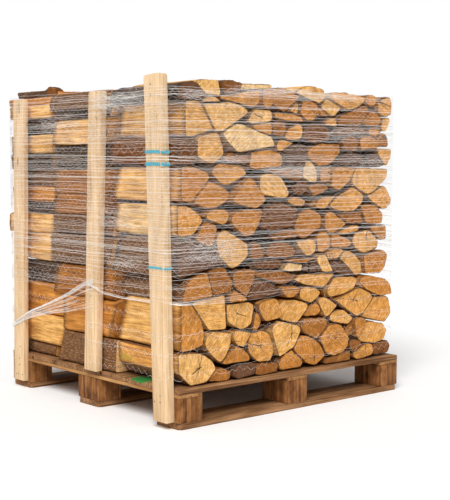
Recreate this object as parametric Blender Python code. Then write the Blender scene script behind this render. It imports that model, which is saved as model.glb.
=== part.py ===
"""Pallet of firewood: split logs stacked in three rows on a nailed wooden pallet.

Three upright posts stand against one side, and a knitted net is wrapped round posts and stack.

Frame: metres, +Z up. X runs along the face with the front row's sawn ends, and Y runs into the
stack. The origin lies on the floor, under the middle of the whole load. Lengths below are first
counted from the pallet's near corner: across along X, deep along Y and high along Z.
"""
import math
import random

import bmesh
import bpy
import numpy as np
from mathutils import Vector

# Pallet, in metres
PALLET_LENGTH = 1.000
PALLET_DEPTH = 1.000
BOTTOM_BOARD = 0.020
BLOCK_HEIGHT = 0.0775
BLOCK_LENGTH = 0.090
BLOCK_DEPTH = 0.126
STRINGER_THICKNESS = 0.0115
DECK_THICKNESS = 0.017
DECK_BOARDS = 7
DECK_GAP = 0.010
CORNER_CHAMFER = 0.010
GAP = 0.0003
STRINGER_TOP = BOTTOM_BOARD + BLOCK_HEIGHT + STRINGER_THICKNESS
DECK_TOP = STRINGER_TOP + DECK_THICKNESS

# Posts, in metres: near edge and width at the foot, the same at the top, outer and inner face,
# height of the foot and of the top
POSTS = {
    "post_front": (0.0240, 0.068, 0.0545, 0.080, -0.0330, -GAP, 0.0222, 1.091),
    "post_middle": (0.4200, 0.070, 0.3790, 0.071, -0.0235, 0.0020, DECK_TOP + GAP, 1.052),
    "post_back": (0.8910, 0.068, 0.8700, 0.069, -0.0210, -GAP, 0.0260, 1.044),
}
POST_TOP_ROUNDING = 0.012

# Rows of logs, in metres: near end, far end and left limit, then how far ends stand out of line
ROWS = {
    "front": (0.014, 0.338, 0.006),
    "middle": (0.362, 0.692, 0.0026),
    "back": (0.716, 1.024, 0.016),
}
END_SCATTER = 0.007
FAR_SCATTER = 0.011
STACK_RIGHT = 0.990
STACK_FLOOR = DECK_TOP + GAP
STACK_CEILING = 1.078

# How log outlines are fitted together, in metres
SWELL = 0.006
JOIN = 0.0006
SLIT = 0.0008
SHORTEST_EDGE = 0.0008
SHARP_TURN = 0.2
LEAST_CONTACT = 0.004

# Net, in metres
NET_THREAD = 0.0050
NET_THICKNESS = 0.0012
NET_LEFT = -0.0345
NET_RIGHT = 0.9925
NET_NEAR = 0.0015
NET_FAR = 1.0400
NET_LOW = 0.150
NET_HIGH = 1.050
NET_LIFTED_MIDDLE = 0.400
NET_LIFTED_BACK = 0.205
NET_LEVELS = 7

# Middle of the whole load, counted from the pallet's near corner
CENTRE = (
    (NET_LEFT - NET_THICKNESS + PALLET_LENGTH) / 2,
    (0.0 + NET_FAR + NET_THICKNESS) / 2,
)

# Sawn ends of the front row, course by course from the deck up, left to right.
# Each outline lists the corners of one log's end: across and high, in millimetres.
FRONT_COURSES = (
    (
        ((8, 180), (8, 231), (70, 228), (105, 219), (140, 195), (157, 168), (125, 138), (55, 134)),
        ((128, 137), (150, 160), (182, 171), (222, 150), (220, 137), (200, 131)),
        ((226, 148), (240, 168), (300, 177), (322, 165), (320, 140), (250, 131)),
        ((326, 138), (330, 165), (400, 163), (428, 150), (425, 136), (345, 132)),
        ((433, 150), (446, 172), (488, 195), (530, 165), (541, 148), (533, 136), (445, 136)),
        ((503, 192), (513, 222), (530, 237), (575, 232), (622, 198), (645, 160), (600, 136), (556, 148)),
        ((645, 134), (652, 152), (705, 150), (755, 172), (770, 160), (770, 134)),
        ((790, 146), (800, 162), (855, 182), (880, 176), (893, 158), (885, 140), (805, 131)),
        ((897, 138), (888, 176), (950, 186), (978, 172), (987, 158), (975, 137)),
    ),
    (
        ((30, 240), (30, 386), (52, 384), (82, 362), (100, 335), (114, 278), (112, 256), (70, 243)),
        ((118, 256), (130, 279), (150, 287), (226, 275), (224, 250), (190, 192), (174, 194), (132, 232)),
        ((188, 186), (214, 212), (245, 228), (270, 221), (296, 196), (299, 178), (208, 178)),
        ((300, 238), (314, 268), (345, 273), (385, 262), (417, 212), (395, 171), (350, 170), (306, 208)),
        ((397, 250), (400, 283), (425, 301), (515, 278), (532, 262), (500, 208), (425, 176), (419, 198)),
        ((534, 252), (528, 268), (548, 298), (645, 291), (650, 262), (600, 222), (575, 236)),
        ((622, 222), (655, 258), (690, 263), (725, 260), (762, 215), (757, 188), (705, 152), (650, 172)),
        ((764, 180), (764, 200), (802, 200), (822, 190), (806, 168), (776, 158)),
        ((752, 240), (766, 254), (786, 264), (794, 244), (793, 224), (760, 216)),
        ((795, 240), (790, 268), (815, 278), (840, 272), (850, 260), (825, 222), (808, 208)),
        ((812, 200), (852, 250), (870, 255), (945, 240), (963, 215), (945, 180), (900, 176), (850, 184)),
    ),
    (
        ((67, 384), (100, 392), (200, 402), (205, 298), (132, 298), (118, 330), (96, 366)),
        ((230, 270), (240, 279), (275, 279), (308, 272), (276, 232), (252, 238)),
        ((208, 345), (208, 368), (250, 373), (300, 372), (328, 358), (320, 305), (275, 283), (216, 315)),
        ((322, 322), (333, 330), (347, 325), (348, 303), (332, 279), (316, 290)),
        ((335, 345), (340, 362), (395, 379), (416, 371), (438, 335), (436, 311), (380, 303), (352, 312)),
        ((441, 350), (462, 360), (525, 360), (555, 350), (572, 335), (514, 284), (442, 306)),
        ((550, 304), (580, 338), (605, 345), (622, 342), (627, 318), (600, 301)),
        ((603, 350), (625, 362), (660, 352), (704, 325), (668, 297), (640, 293), (629, 335)),
        ((676, 285), (679, 301), (700, 308), (740, 307), (789, 272), (765, 256), (686, 272)),
        ((692, 352), (740, 363), (800, 385), (860, 363), (878, 345), (850, 303), (800, 286), (749, 316)),
        ((818, 284), (848, 300), (881, 342), (930, 343), (962, 334), (978, 285), (945, 254), (900, 262)),
    ),
    (
        ((28, 391), (38, 433), (55, 457), (100, 474), (126, 479), (133, 450), (131, 420), (150, 403)),
        ((212, 398), (228, 416), (262, 398), (284, 383), (272, 377), (216, 377)),
        ((300, 381), (303, 408), (326, 446), (350, 444), (400, 426), (440, 397), (436, 386), (340, 373)),
        ((433, 408), (446, 414), (500, 412), (522, 394), (497, 378), (470, 375), (441, 392)),
        ((527, 374), (532, 395), (560, 401), (600, 396), (623, 378), (600, 355), (580, 346), (556, 352)),
        ((506, 434), (530, 447), (650, 441), (695, 436), (665, 406), (640, 398), (560, 411)),
        ((668, 400), (682, 420), (740, 426), (790, 422), (806, 408), (783, 376), (670, 363), (657, 378)),
        ((801, 396), (816, 415), (860, 421), (945, 400), (966, 380), (974, 352), (915, 350), (850, 378)),
    ),
    (
        ((135, 470), (140, 483), (160, 493), (195, 485), (226, 440), (223, 415), (155, 406), (139, 425)),
        ((230, 460), (245, 474), (300, 478), (330, 471), (323, 445), (292, 387), (262, 405), (238, 432)),
        ((332, 452), (330, 470), (440, 467), (500, 450), (518, 440), (450, 417), (400, 430)),
        ((452, 470), (466, 482), (482, 488), (535, 475), (533, 463), (460, 463)),
        ((602, 492), (612, 506), (640, 508), (655, 490), (678, 453), (642, 448), (624, 460)),
        ((540, 462), (545, 480), (590, 496), (620, 456), (575, 452)),
        ((682, 455), (670, 484), (738, 472), (758, 452), (784, 438), (745, 431)),
        ((722, 490), (738, 510), (765, 513), (800, 497), (836, 460), (839, 435), (800, 426), (762, 460)),
        ((843, 430), (835, 488), (850, 497), (900, 510), (940, 505), (958, 490), (936, 442), (918, 430)),
    ),
    (
        ((16, 462), (14, 560), (40, 590), (62, 593), (108, 556), (150, 555), (195, 498), (128, 486)),
        ((170, 575), (176, 596), (205, 606), (304, 553), (304, 530), (262, 493), (230, 487), (186, 523)),
        ((308, 520), (306, 554), (332, 562), (352, 548), (365, 520), (330, 508)),
        ((318, 484), (325, 502), (400, 505), (450, 498), (445, 480), (400, 473)),
        ((366, 528), (380, 548), (410, 556), (455, 555), (490, 535), (500, 520), (470, 508), (385, 512)),
        ((452, 496), (480, 503), (590, 499), (570, 488), (540, 482), (480, 492)),
        ((515, 556), (560, 562), (595, 558), (607, 540), (598, 520), (565, 506), (528, 540)),
        ((612, 525), (608, 560), (618, 578), (650, 582), (675, 555), (672, 535), (640, 518)),
        ((655, 504), (668, 522), (712, 523), (738, 514), (720, 500), (690, 489), (664, 489)),
        ((678, 540), (682, 572), (715, 573), (755, 558), (778, 540), (765, 528), (690, 528)),
        ((785, 545), (800, 575), (850, 582), (885, 575), (918, 535), (905, 512), (850, 499), (800, 526)),
    ),
    (
        ((88, 588), (112, 628), (135, 636), (160, 632), (168, 610), (146, 561), (110, 558), (95, 570)),
        ((20, 600), (20, 684), (60, 680), (105, 650), (112, 635), (75, 597), (45, 592)),
        ((222, 640), (232, 658), (300, 668), (345, 664), (347, 650), (310, 592), (275, 588), (228, 625)),
        ((350, 612), (356, 650), (372, 676), (430, 688), (512, 664), (500, 636), (498, 610), (395, 600)),
        ((392, 576), (420, 590), (460, 597), (500, 592), (506, 578), (400, 570)),
        ((505, 590), (508, 620), (525, 645), (560, 662), (600, 655), (625, 640), (622, 605), (545, 568)),
        ((652, 600), (652, 640), (668, 651), (700, 643), (752, 611), (705, 583), (680, 577)),
        ((700, 580), (735, 592), (782, 600), (806, 597), (800, 583), (722, 573)),
        ((702, 648), (750, 651), (817, 655), (836, 620), (835, 610), (765, 606), (735, 624)),
        ((822, 665), (850, 672), (890, 668), (932, 635), (928, 612), (900, 603), (842, 612)),
        ((872, 590), (878, 598), (945, 598), (957, 585), (955, 553), (925, 543), (912, 560)),
    ),
    (
        ((30, 706), (30, 803), (62, 805), (122, 787), (135, 770), (136, 758), (95, 722), (78, 702)),
        ((80, 700), (108, 752), (136, 757), (198, 735), (215, 718), (205, 702), (150, 679), (115, 684)),
        ((122, 640), (126, 662), (150, 673), (195, 674), (214, 655), (200, 630), (175, 622)),
        ((233, 702), (265, 745), (292, 768), (315, 768), (358, 720), (362, 700), (328, 676), (262, 690)),
        ((352, 740), (355, 775), (415, 785), (440, 772), (474, 725), (474, 712), (450, 706), (355, 722)),
        ((470, 694), (485, 704), (515, 704), (550, 690), (540, 676), (500, 682)),
        ((602, 672), (612, 692), (640, 700), (688, 703), (664, 682), (640, 666), (615, 667)),
        ((500, 736), (515, 752), (550, 758), (564, 742), (532, 714), (505, 720)),
        ((575, 735), (590, 748), (640, 750), (660, 735), (640, 722), (600, 710)),
        ((666, 676), (692, 697), (772, 731), (800, 722), (826, 703), (820, 682), (768, 649), (685, 664)),
        ((852, 705), (920, 735), (935, 735), (955, 715), (970, 690), (965, 672), (930, 655), (875, 685)),
    ),
    (
        ((148, 790), (160, 808), (190, 815), (240, 815), (275, 803), (288, 785), (215, 752), (190, 752)),
        ((300, 808), (305, 832), (318, 858), (400, 860), (436, 850), (450, 828), (440, 806), (330, 798)),
        ((372, 794), (440, 800), (520, 800), (538, 790), (535, 768), (510, 758), (480, 762), (450, 782)),
        ((540, 790), (550, 816), (572, 822), (592, 812), (609, 780), (604, 757), (575, 757), (548, 768)),
        ((614, 762), (614, 795), (650, 802), (664, 790), (662, 765), (640, 755)),
        ((668, 740), (670, 795), (710, 806), (760, 804), (778, 795), (745, 755), (700, 728)),
        ((768, 760), (785, 797), (850, 800), (945, 796), (944, 770), (868, 714), (835, 714), (780, 740)),
    ),
    (
        ((14, 818), (14, 888), (60, 893), (76, 892), (76, 838), (60, 816)),
        ((78, 840), (78, 895), (130, 913), (160, 913), (182, 860), (182, 840), (145, 820), (120, 822)),
        ((183, 838), (200, 850), (250, 846), (290, 838), (300, 825), (262, 817), (215, 820)),
        ((190, 913), (220, 932), (255, 941), (290, 936), (392, 906), (410, 870), (262, 848), (215, 882)),
        ((418, 862), (420, 882), (448, 897), (497, 885), (470, 872), (445, 858)),
        ((455, 830), (450, 860), (480, 872), (520, 880), (555, 868), (560, 840), (545, 812), (462, 806)),
        ((560, 848), (580, 866), (620, 880), (714, 878), (719, 860), (672, 820), (612, 808), (568, 836)),
        ((700, 815), (722, 838), (750, 850), (800, 848), (838, 836), (840, 815), (740, 808)),
        ((845, 812), (842, 838), (880, 848), (910, 835), (925, 812), (900, 804)),
        ((722, 868), (726, 892), (740, 912), (800, 902), (806, 880), (790, 862)),
        ((806, 885), (815, 905), (845, 912), (880, 905), (897, 890), (895, 870), (820, 868)),
        ((902, 840), (900, 865), (963, 869), (964, 850), (945, 812), (925, 816)),
    ),
    (
        ((45, 898), (45, 1004), (80, 1008), (99, 1002), (122, 970), (150, 918), (125, 913), (75, 898)),
        ((105, 1000), (200, 1008), (240, 1010), (285, 985), (292, 975), (205, 932), (185, 915), (158, 917)),
        ((293, 952), (310, 982), (345, 988), (388, 986), (393, 962), (380, 950), (310, 942)),
        ((312, 935), (345, 944), (385, 945), (392, 930), (385, 912), (330, 921)),
        ((398, 908), (398, 945), (425, 952), (450, 946), (455, 925), (445, 903)),
        ((455, 908), (468, 924), (515, 945), (530, 938), (532, 912), (522, 900), (462, 893)),
        ((545, 905), (560, 942), (620, 945), (655, 935), (672, 915), (665, 898), (600, 884)),
        ((684, 903), (690, 930), (740, 940), (800, 940), (855, 925), (848, 915), (740, 917)),
        ((858, 918), (862, 936), (905, 941), (924, 926), (905, 912)),
        ((905, 876), (900, 905), (930, 925), (948, 922), (962, 895), (963, 876)),
    ),
    (
        ((8, 1011), (8, 1048), (40, 1058), (76, 1063), (112, 1026), (100, 1014)),
        ((105, 1010), (125, 1022), (160, 1022), (172, 1013), (130, 1005)),
        ((176, 1014), (190, 1029), (300, 1046), (342, 1050), (346, 1015), (305, 990), (258, 1013)),
        ((350, 1010), (348, 1050), (395, 1052), (397, 1015), (370, 996)),
        ((402, 972), (405, 984), (480, 982), (515, 968), (530, 955), (450, 958)),
        ((476, 988), (492, 1004), (510, 1016), (513, 995), (508, 977)),
        ((517, 985), (525, 1018), (560, 1027), (585, 1018), (608, 985), (575, 962), (550, 958)),
        ((606, 984), (608, 1003), (622, 1000), (655, 982), (630, 977)),
        ((620, 1003), (640, 1028), (662, 1034), (690, 1022), (714, 1005), (685, 978), (655, 981)),
        ((645, 948), (655, 962), (690, 968), (700, 955), (698, 944)),
        ((703, 948), (705, 972), (790, 998), (812, 1012), (845, 1014), (858, 998), (812, 950)),
        ((828, 955), (840, 975), (860, 995), (890, 998), (922, 980), (922, 960), (905, 947)),
        ((926, 955), (935, 976), (955, 977), (967, 968), (945, 930), (930, 935)),
    ),
    (
        ((80, 1064), (100, 1072), (168, 1074), (176, 1032), (165, 1027), (125, 1028)),
        ((174, 1060), (185, 1077), (215, 1072), (258, 1065), (250, 1042), (190, 1034)),
        ((262, 1050), (270, 1064), (340, 1066), (400, 1066), (398, 1058), (345, 1056)),
        ((400, 1022), (402, 1056), (450, 1060), (500, 1052), (535, 1040), (485, 1003), (458, 984), (418, 1005)),
        ((505, 1046), (540, 1066), (590, 1070), (632, 1058), (636, 1035), (615, 1014), (590, 1026)),
        ((650, 1040), (668, 1052), (720, 1054), (800, 1048), (836, 1040), (790, 1009), (750, 1003), (722, 1008)),
        ((838, 1030), (840, 1046), (870, 1056), (900, 1046), (895, 1026), (870, 1018)),
        ((900, 1010), (903, 1046), (965, 1047), (973, 1020), (965, 992), (940, 982), (905, 996)),
    ),
)

# Left ends of the courses in the two hidden rows, in millimetres: low, high and left side
MIDDLE_COLUMN = (
    (127, 218, 34), (222, 386, 28), (394, 452, 40), (457, 598, 26), (602, 645, 36), (650, 698, 30),
    (702, 792, 28), (797, 880, 38), (885, 975, 30), (979, 1012, 44), (1016, 1052, 30),
)
BACK_COLUMN = (
    (127, 152, 34), (156, 268, 24), (274, 396, 32), (401, 460, 42), (465, 577, 26), (586, 642, 28),
    (646, 668, 34), (672, 728, 30), (733, 798, 34), (802, 853, 30), (857, 905, 24), (910, 983, 34),
    (987, 1028, 30), (1031, 1046, 32),
)
# Column, number of bands, seed, and how far the column reaches out to its post
HIDDEN_ROWS = {"middle": (MIDDLE_COLUMN, 9, 41, 0.021), "back": (BACK_COLUMN, 9, 23, 0.0)}
LOG_RADII = (0.034, 0.062)
SITE_TRIES = 5200
SITE_CROWDING = 0.86
CELL_MARGIN = 0.004
TOP_RISE = (1.030, 1.062)
LEVEL_EDGE = 0.150

# Colours from plain sight, linear red, green and blue
COLOURS = {
    "pallet_wood": ((0.34, 0.20, 0.10), 0.80),
    "post_wood": ((0.72, 0.52, 0.30), 0.70),
    "split_wood": ((0.58, 0.32, 0.11), 0.85),
    "bark_slab": ((0.16, 0.10, 0.07), 0.90),
    "net_thread": ((0.85, 0.85, 0.84), 0.50),
}


def clear_scene():
    """Remove every object of the open scene."""
    for item in list(bpy.data.objects):
        bpy.data.objects.remove(item, do_unlink=True)


def make_material(name):
    """One Principled material from the colour list."""
    colour, roughness = COLOURS[name]
    material = bpy.data.materials.new(name)
    material.use_nodes = True
    shader = material.node_tree.nodes["Principled BSDF"]
    shader.inputs["Base Color"].default_value = (*colour, 1.0)
    shader.inputs["Roughness"].default_value = roughness
    shader.inputs["Metallic"].default_value = 0.0
    material.diffuse_color = (*colour, 1.0)
    return material


def place(across, deep, high):
    """A point counted from the pallet's near corner, in the part's own frame."""
    return Vector((across - CENTRE[0], deep - CENTRE[1], high))


def add_object(name, mesh, material):
    """Link a mesh as an object with its own material."""
    item = bpy.data.objects.new(name, mesh)
    bpy.context.collection.objects.link(item)
    mesh.materials.clear()
    mesh.materials.append(material)
    return item


def mesh_from(shape, name):
    """Turn a bmesh into a mesh and free it."""
    bmesh.ops.recalc_face_normals(shape, faces=shape.faces[:])
    mesh = bpy.data.meshes.new(name)
    shape.to_mesh(mesh)
    shape.free()
    return mesh


def add_bar(name, low, high, material, chamfer=0.0):
    """A straight bar between two opposite corners, its upright edges chamfered."""
    shape = bmesh.new()
    bmesh.ops.create_cube(shape, size=1.0)
    corner, far = place(*low), place(*high)
    size = far - corner
    bmesh.ops.scale(shape, vec=size, verts=shape.verts[:])
    bmesh.ops.translate(shape, vec=(corner + far) / 2, verts=shape.verts[:])
    if chamfer:
        upright = [e for e in shape.edges if abs((e.verts[0].co - e.verts[1].co).normalized().z) > 0.9]
        bmesh.ops.bevel(shape, geom=upright, offset=chamfer, segments=1, affect="EDGES", profile=0.5)
    return add_object(name, mesh_from(shape, name), material)


def third_starts(whole, piece):
    """Starts of three equal pieces spread from one end of a length to the other."""
    return (0.0, (whole - piece) / 2, whole - piece)


def build_pallet(material):
    """Bottom boards and deck along X, stringers along Y, and nine blocks between them."""
    rows = third_starts(PALLET_DEPTH, BLOCK_DEPTH)
    columns = third_starts(PALLET_LENGTH, BLOCK_LENGTH)
    block_top = BOTTOM_BOARD + BLOCK_HEIGHT
    for row_name, deep in zip(("front", "middle", "back"), rows):
        add_bar(
            f"bottom_board_{row_name}", (0.0, deep, 0.0),
            (PALLET_LENGTH, deep + BLOCK_DEPTH, BOTTOM_BOARD - GAP), material, CORNER_CHAMFER,
        )
        for column_name, across in zip(("left", "centre", "right"), columns):
            add_bar(
                f"block_{row_name}_{column_name}", (across, deep, BOTTOM_BOARD),
                (across + BLOCK_LENGTH, deep + BLOCK_DEPTH, block_top - GAP), material,
            )
    for column_name, across in zip(("left", "centre", "right"), columns):
        add_bar(
            f"stringer_{column_name}", (across, 0.0, block_top),
            (across + BLOCK_LENGTH, PALLET_DEPTH, STRINGER_TOP - GAP), material,
        )
    board = (PALLET_DEPTH - (DECK_BOARDS - 1) * DECK_GAP) / DECK_BOARDS
    for index in range(DECK_BOARDS):
        deep = index * (board + DECK_GAP)
        add_bar(
            f"deck_board_{index + 1}", (0.0, deep, STRINGER_TOP),
            (PALLET_LENGTH, deep + board, DECK_TOP), material,
        )


def build_posts(material):
    """Upright sawn posts against the left side, leaning as they were nailed."""
    for name, (foot, foot_width, head, head_width, outer, inner, low, high) in POSTS.items():
        shape = bmesh.new()
        bmesh.ops.create_cube(shape, size=1.0)
        for vert in shape.verts:
            top = vert.co.z > 0
            start, width = (head, head_width) if top else (foot, foot_width)
            vert.co = place(
                outer if vert.co.x < 0 else inner,
                start + (width if vert.co.y > 0 else 0.0),
                high if top else low,
            )
        crown = [
            e for e in shape.edges
            if all(v.co.z > high - 0.001 for v in e.verts) and abs(e.verts[0].co.y - e.verts[1].co.y) < 0.001
        ]
        bmesh.ops.bevel(
            shape, geom=crown, offset=POST_TOP_ROUNDING, segments=3, affect="EDGES", profile=0.5,
        )
        add_object(name, mesh_from(shape, name), material)


def cross(a, b):
    """Turning sense of two flat vectors."""
    return a[0] * b[1] - a[1] * b[0]


def hull(points):
    """Convex outline of flat points, counter-clockwise."""
    points = sorted(map(tuple, points))
    halves = []
    for run in (points, points[::-1]):
        chain = []
        for point in run:
            while len(chain) > 1 and cross(
                np.subtract(chain[-1], chain[-2]), np.subtract(point, chain[-1])
            ) <= 1e-12:
                chain.pop()
            chain.append(point)
        halves.append(chain[:-1])
    return np.array(halves[0] + halves[1])


def clip(outline, normal, limit):
    """The part of a convex outline whose reach along normal stays under limit."""
    kept = []
    reach = outline @ normal - limit
    for index, point in enumerate(outline):
        before = index - 1
        if (reach[before] > 0) != (reach[index] > 0):
            share = reach[before] / (reach[before] - reach[index])
            kept.append(outline[before] + share * (point - outline[before]))
        if reach[index] <= 0:
            kept.append(point)
    return np.array(kept) if len(kept) > 2 else np.zeros((0, 2))


def edge_normals(outline):
    """Outward unit normals of a counter-clockwise outline."""
    edges = np.roll(outline, -1, axis=0) - outline
    normals = np.stack([edges[:, 1], -edges[:, 0]], axis=1)
    return normals / np.linalg.norm(normals, axis=1)[:, None]


def swell(outline, distance):
    """A convex outline grown outwards, its sharp corners cut short."""
    normals = edge_normals(outline)
    reach = distance * 4
    low, high = outline.min(axis=0) - reach, outline.max(axis=0) + reach
    grown = np.array([low, (high[0], low[1]), high, (low[0], high[1])])
    before = np.roll(normals, 1, axis=0)
    for point, normal in zip(outline, normals):
        grown = clip(grown, normal, point @ normal + distance)
    for point, normal, last in zip(outline, normals, before):
        if normal @ last < SHARP_TURN:
            bisector = (normal + last) / np.linalg.norm(normal + last)
            grown = clip(grown, bisector, point @ bisector + distance * 1.15)
    return grown


def dividing_line(first, second):
    """Normal and place of the line that best parts two convex outlines."""
    between = second.mean(axis=0) - first.mean(axis=0)
    candidates = list(edge_normals(first)) + [-n for n in edge_normals(second)]
    candidates.append(between / np.linalg.norm(between))
    best = None
    for normal in candidates:
        near, far = (first @ normal).max(), (second @ normal).min()
        if best is None or far - near > best[0]:
            best = (far - near, normal, (near + far) / 2)
    return best


def tidy(outline):
    """Drop corners that stand closer than the shortest edge to the one before."""
    kept = [outline[0]]
    for point in outline[1:]:
        if np.linalg.norm(point - kept[-1]) > SHORTEST_EDGE:
            kept.append(point)
    if np.linalg.norm(kept[0] - kept[-1]) <= SHORTEST_EDGE:
        kept.pop()
    return np.array(kept)


def contact_length(first, second, normal, place_on_normal):
    """Length of the line that two outlines share."""
    along = np.array([-normal[1], normal[0]])
    spans = []
    for outline in (first, second):
        touching = [p @ along for p in outline if abs(p @ normal - place_on_normal) < 1e-7]
        if len(touching) < 2:
            return 0.0
        spans.append((min(touching), max(touching)))
    return min(spans[0][1], spans[1][1]) - max(spans[0][0], spans[1][0])


def fit_together(outlines, courses, left):
    """Swell the outlines until neighbours meet, and part them along straight lines.

    Returns the outline of each log and the course that it is joined to. Logs of one course
    overlap by a hair, so that they join in one solid, and courses keep a slit between them.
    """
    grown = [swell(hull(outline), SWELL) for outline in outlines]
    bounds = (
        ((-1.0, 0.0), -left), ((1.0, 0.0), STACK_RIGHT),
        ((0.0, -1.0), -STACK_FLOOR), ((0.0, 1.0), STACK_CEILING),
    )
    for normal, limit in bounds:
        grown = [clip(outline, np.array(normal), limit) for outline in grown]
    lines = {}
    for i, first in enumerate(grown):
        for j in range(i + 1, len(grown)):
            second = grown[j]
            apart = np.maximum(first.min(axis=0) - second.max(axis=0), second.min(axis=0) - first.max(axis=0))
            if apart.max() > SLIT:
                continue
            line = dividing_line(first, second)
            if line[0] < SLIT:
                lines[i, j] = line[1:]

    def trimmed(offset):
        result = list(grown)
        for (i, j), (normal, middle) in lines.items():
            room = offset(i, j)
            result[i] = clip(result[i], normal, middle - room)
            result[j] = clip(result[j], -normal, -middle - room)
        return result

    touching = trimmed(lambda i, j: 0.0)
    contacts = {}
    for (i, j), (normal, middle) in lines.items():
        length = contact_length(touching[i], touching[j], normal, middle)
        if length > LEAST_CONTACT:
            contacts.setdefault(i, {})[j] = length
            contacts.setdefault(j, {})[i] = length
    courses = joined_courses(list(courses), contacts)
    parted = trimmed(lambda i, j: -JOIN if courses[i] == courses[j] else SLIT / 2)
    return [tidy(outline) for outline in parted], courses


def pieces_of(members, contacts):
    """Groups of logs that hang together by contact, the largest first."""
    left, groups = set(members), []
    while left:
        front = [min(left)]
        group = set(front)
        while front:
            for other in contacts.get(front.pop(), {}):
                if other in left and other not in group:
                    group.add(other)
                    front.append(other)
        left -= group
        groups.append(sorted(group))
    return sorted(groups, key=len, reverse=True)


def joined_courses(courses, contacts):
    """Settle each course's largest group, then give every loose group to what it touches most."""
    settled, loose = {}, []
    for course in sorted(set(courses)):
        members = [i for i, own in enumerate(courses) if own == course]
        largest, *others = pieces_of(members, contacts)
        settled.update({i: course for i in largest})
        loose += others
    while loose:
        offers = []
        for group in loose:
            touches = {}
            for i in group:
                for other, length in contacts.get(i, {}).items():
                    if other in settled:
                        course = settled[other]
                        touches[course] = touches.get(course, 0.0) + length
            offers += [(length, course, group) for course, length in touches.items()]
        _, course, group = max(offers) if offers else (0.0, max(settled.values()) + 1, loose[0])
        settled.update({i: course for i in group})
        loose.remove(group)
    return [settled[i] for i in range(len(courses))]


def hidden_row_outlines(column, bands, seed, reach):
    """Log ends of a row that shows only its left side: round sites parted by power lines."""
    dice = random.Random(seed)
    sites = []
    for low, high, left in column:
        radius = (high - low) / 2000
        sites.append((left / 1000 + radius, (low + high) / 2000, radius))
    kept_left = len(sites)
    for _ in range(SITE_TRIES):
        radius = dice.uniform(*LOG_RADII)
        site = (
            dice.uniform(0.07, STACK_RIGHT - 0.012 - radius * 0.8),
            dice.uniform(STACK_FLOOR + radius * 0.8, TOP_RISE[1] - radius * 0.5), radius,
        )
        if all(
            math.hypot(site[0] - s[0], site[1] - s[1]) > (site[2] + s[2]) * SITE_CROWDING for s in sites
        ):
            sites.append(site)
    outlines, courses = [], []
    band_height = (TOP_RISE[1] - STACK_FLOOR) / bands
    for index, (across, high, radius) in enumerate(sites):
        left = column[index][2] / 1000 - reach if index < kept_left else 0.02
        top = dice.uniform(*TOP_RISE) if across > LEVEL_EDGE else column[-1][1] / 1000
        right = STACK_RIGHT - 0.008 - dice.uniform(0.0, 0.018)
        cell = np.array([(left, STACK_FLOOR), (right, STACK_FLOOR), (right, top), (left, top)])
        centre = np.array((across, high))
        for other, (x, z, r) in enumerate(sites):
            if other == index:
                continue
            step = np.array((x, z)) - centre
            distance = np.linalg.norm(step)
            share = (distance ** 2 + radius ** 2 - r ** 2) / (2 * distance)
            normal = step / distance
            cell = clip(cell, normal, centre @ normal + share - CELL_MARGIN)
            if len(cell) == 0:
                break
        if len(cell) and np.ptp(cell, axis=0).min() > 0.014:
            outlines.append(cell)
            courses.append(min(bands - 1, int((high - STACK_FLOOR) / band_height)))
    return outlines, courses


def log_prism(outline, near, far):
    """Mesh of one log: its end outline drawn out along Y."""
    shape = bmesh.new()
    corners = [shape.verts.new(place(x, near, z)) for x, z in outline]
    face = shape.faces.new(corners)
    drawn = bmesh.ops.extrude_face_region(shape, geom=[face])
    moved = [v for v in drawn["geom"] if isinstance(v, bmesh.types.BMVert)]
    bmesh.ops.translate(shape, vec=(0, far - near, 0), verts=moved)
    return mesh_from(shape, "log")


def join_logs(name, prisms, material):
    """One solid from touching logs, by an exact union."""
    helpers = bpy.data.collections.new("logs")
    bpy.context.scene.collection.children.link(helpers)
    for mesh in prisms[1:]:
        helpers.objects.link(bpy.data.objects.new("log", mesh))
    item = add_object(name, prisms[0], material)
    if len(prisms) > 1:
        union = item.modifiers.new("union", "BOOLEAN")
        union.operation = "UNION"
        union.solver = "EXACT"
        union.operand_type = "COLLECTION"
        union.collection = helpers
        graph = bpy.context.evaluated_depsgraph_get()
        joined = bpy.data.meshes.new_from_object(item.evaluated_get(graph))
        item.modifiers.clear()
        item.data = joined
        joined.materials.clear()
        joined.materials.append(material)
    for helper in list(helpers.objects):
        bpy.data.objects.remove(helper, do_unlink=True)
    bpy.data.collections.remove(helpers)
    return item


def build_row(row, material):
    """All courses of one row of logs."""
    near, far, left = ROWS[row]
    if row == "front":
        outlines = [np.array(log) / 1000 for course in FRONT_COURSES for log in course]
        courses = [index for index, course in enumerate(FRONT_COURSES) for _ in course]
    else:
        outlines, courses = hidden_row_outlines(*HIDDEN_ROWS[row])
    outlines, courses = fit_together(outlines, courses, left)
    dice = random.Random(len(row) * 7)
    for number, course in enumerate(sorted(set(courses)), start=1):
        prisms = []
        for outline, own in zip(outlines, courses):
            if own == course:
                start = near + dice.uniform(-END_SCATTER, END_SCATTER)
                end = far + dice.uniform(-FAR_SCATTER, FAR_SCATTER)
                prisms.append(log_prism(outline, start, end))
        join_logs(f"logs_{row}_course_{number:02d}", prisms, material)


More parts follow.
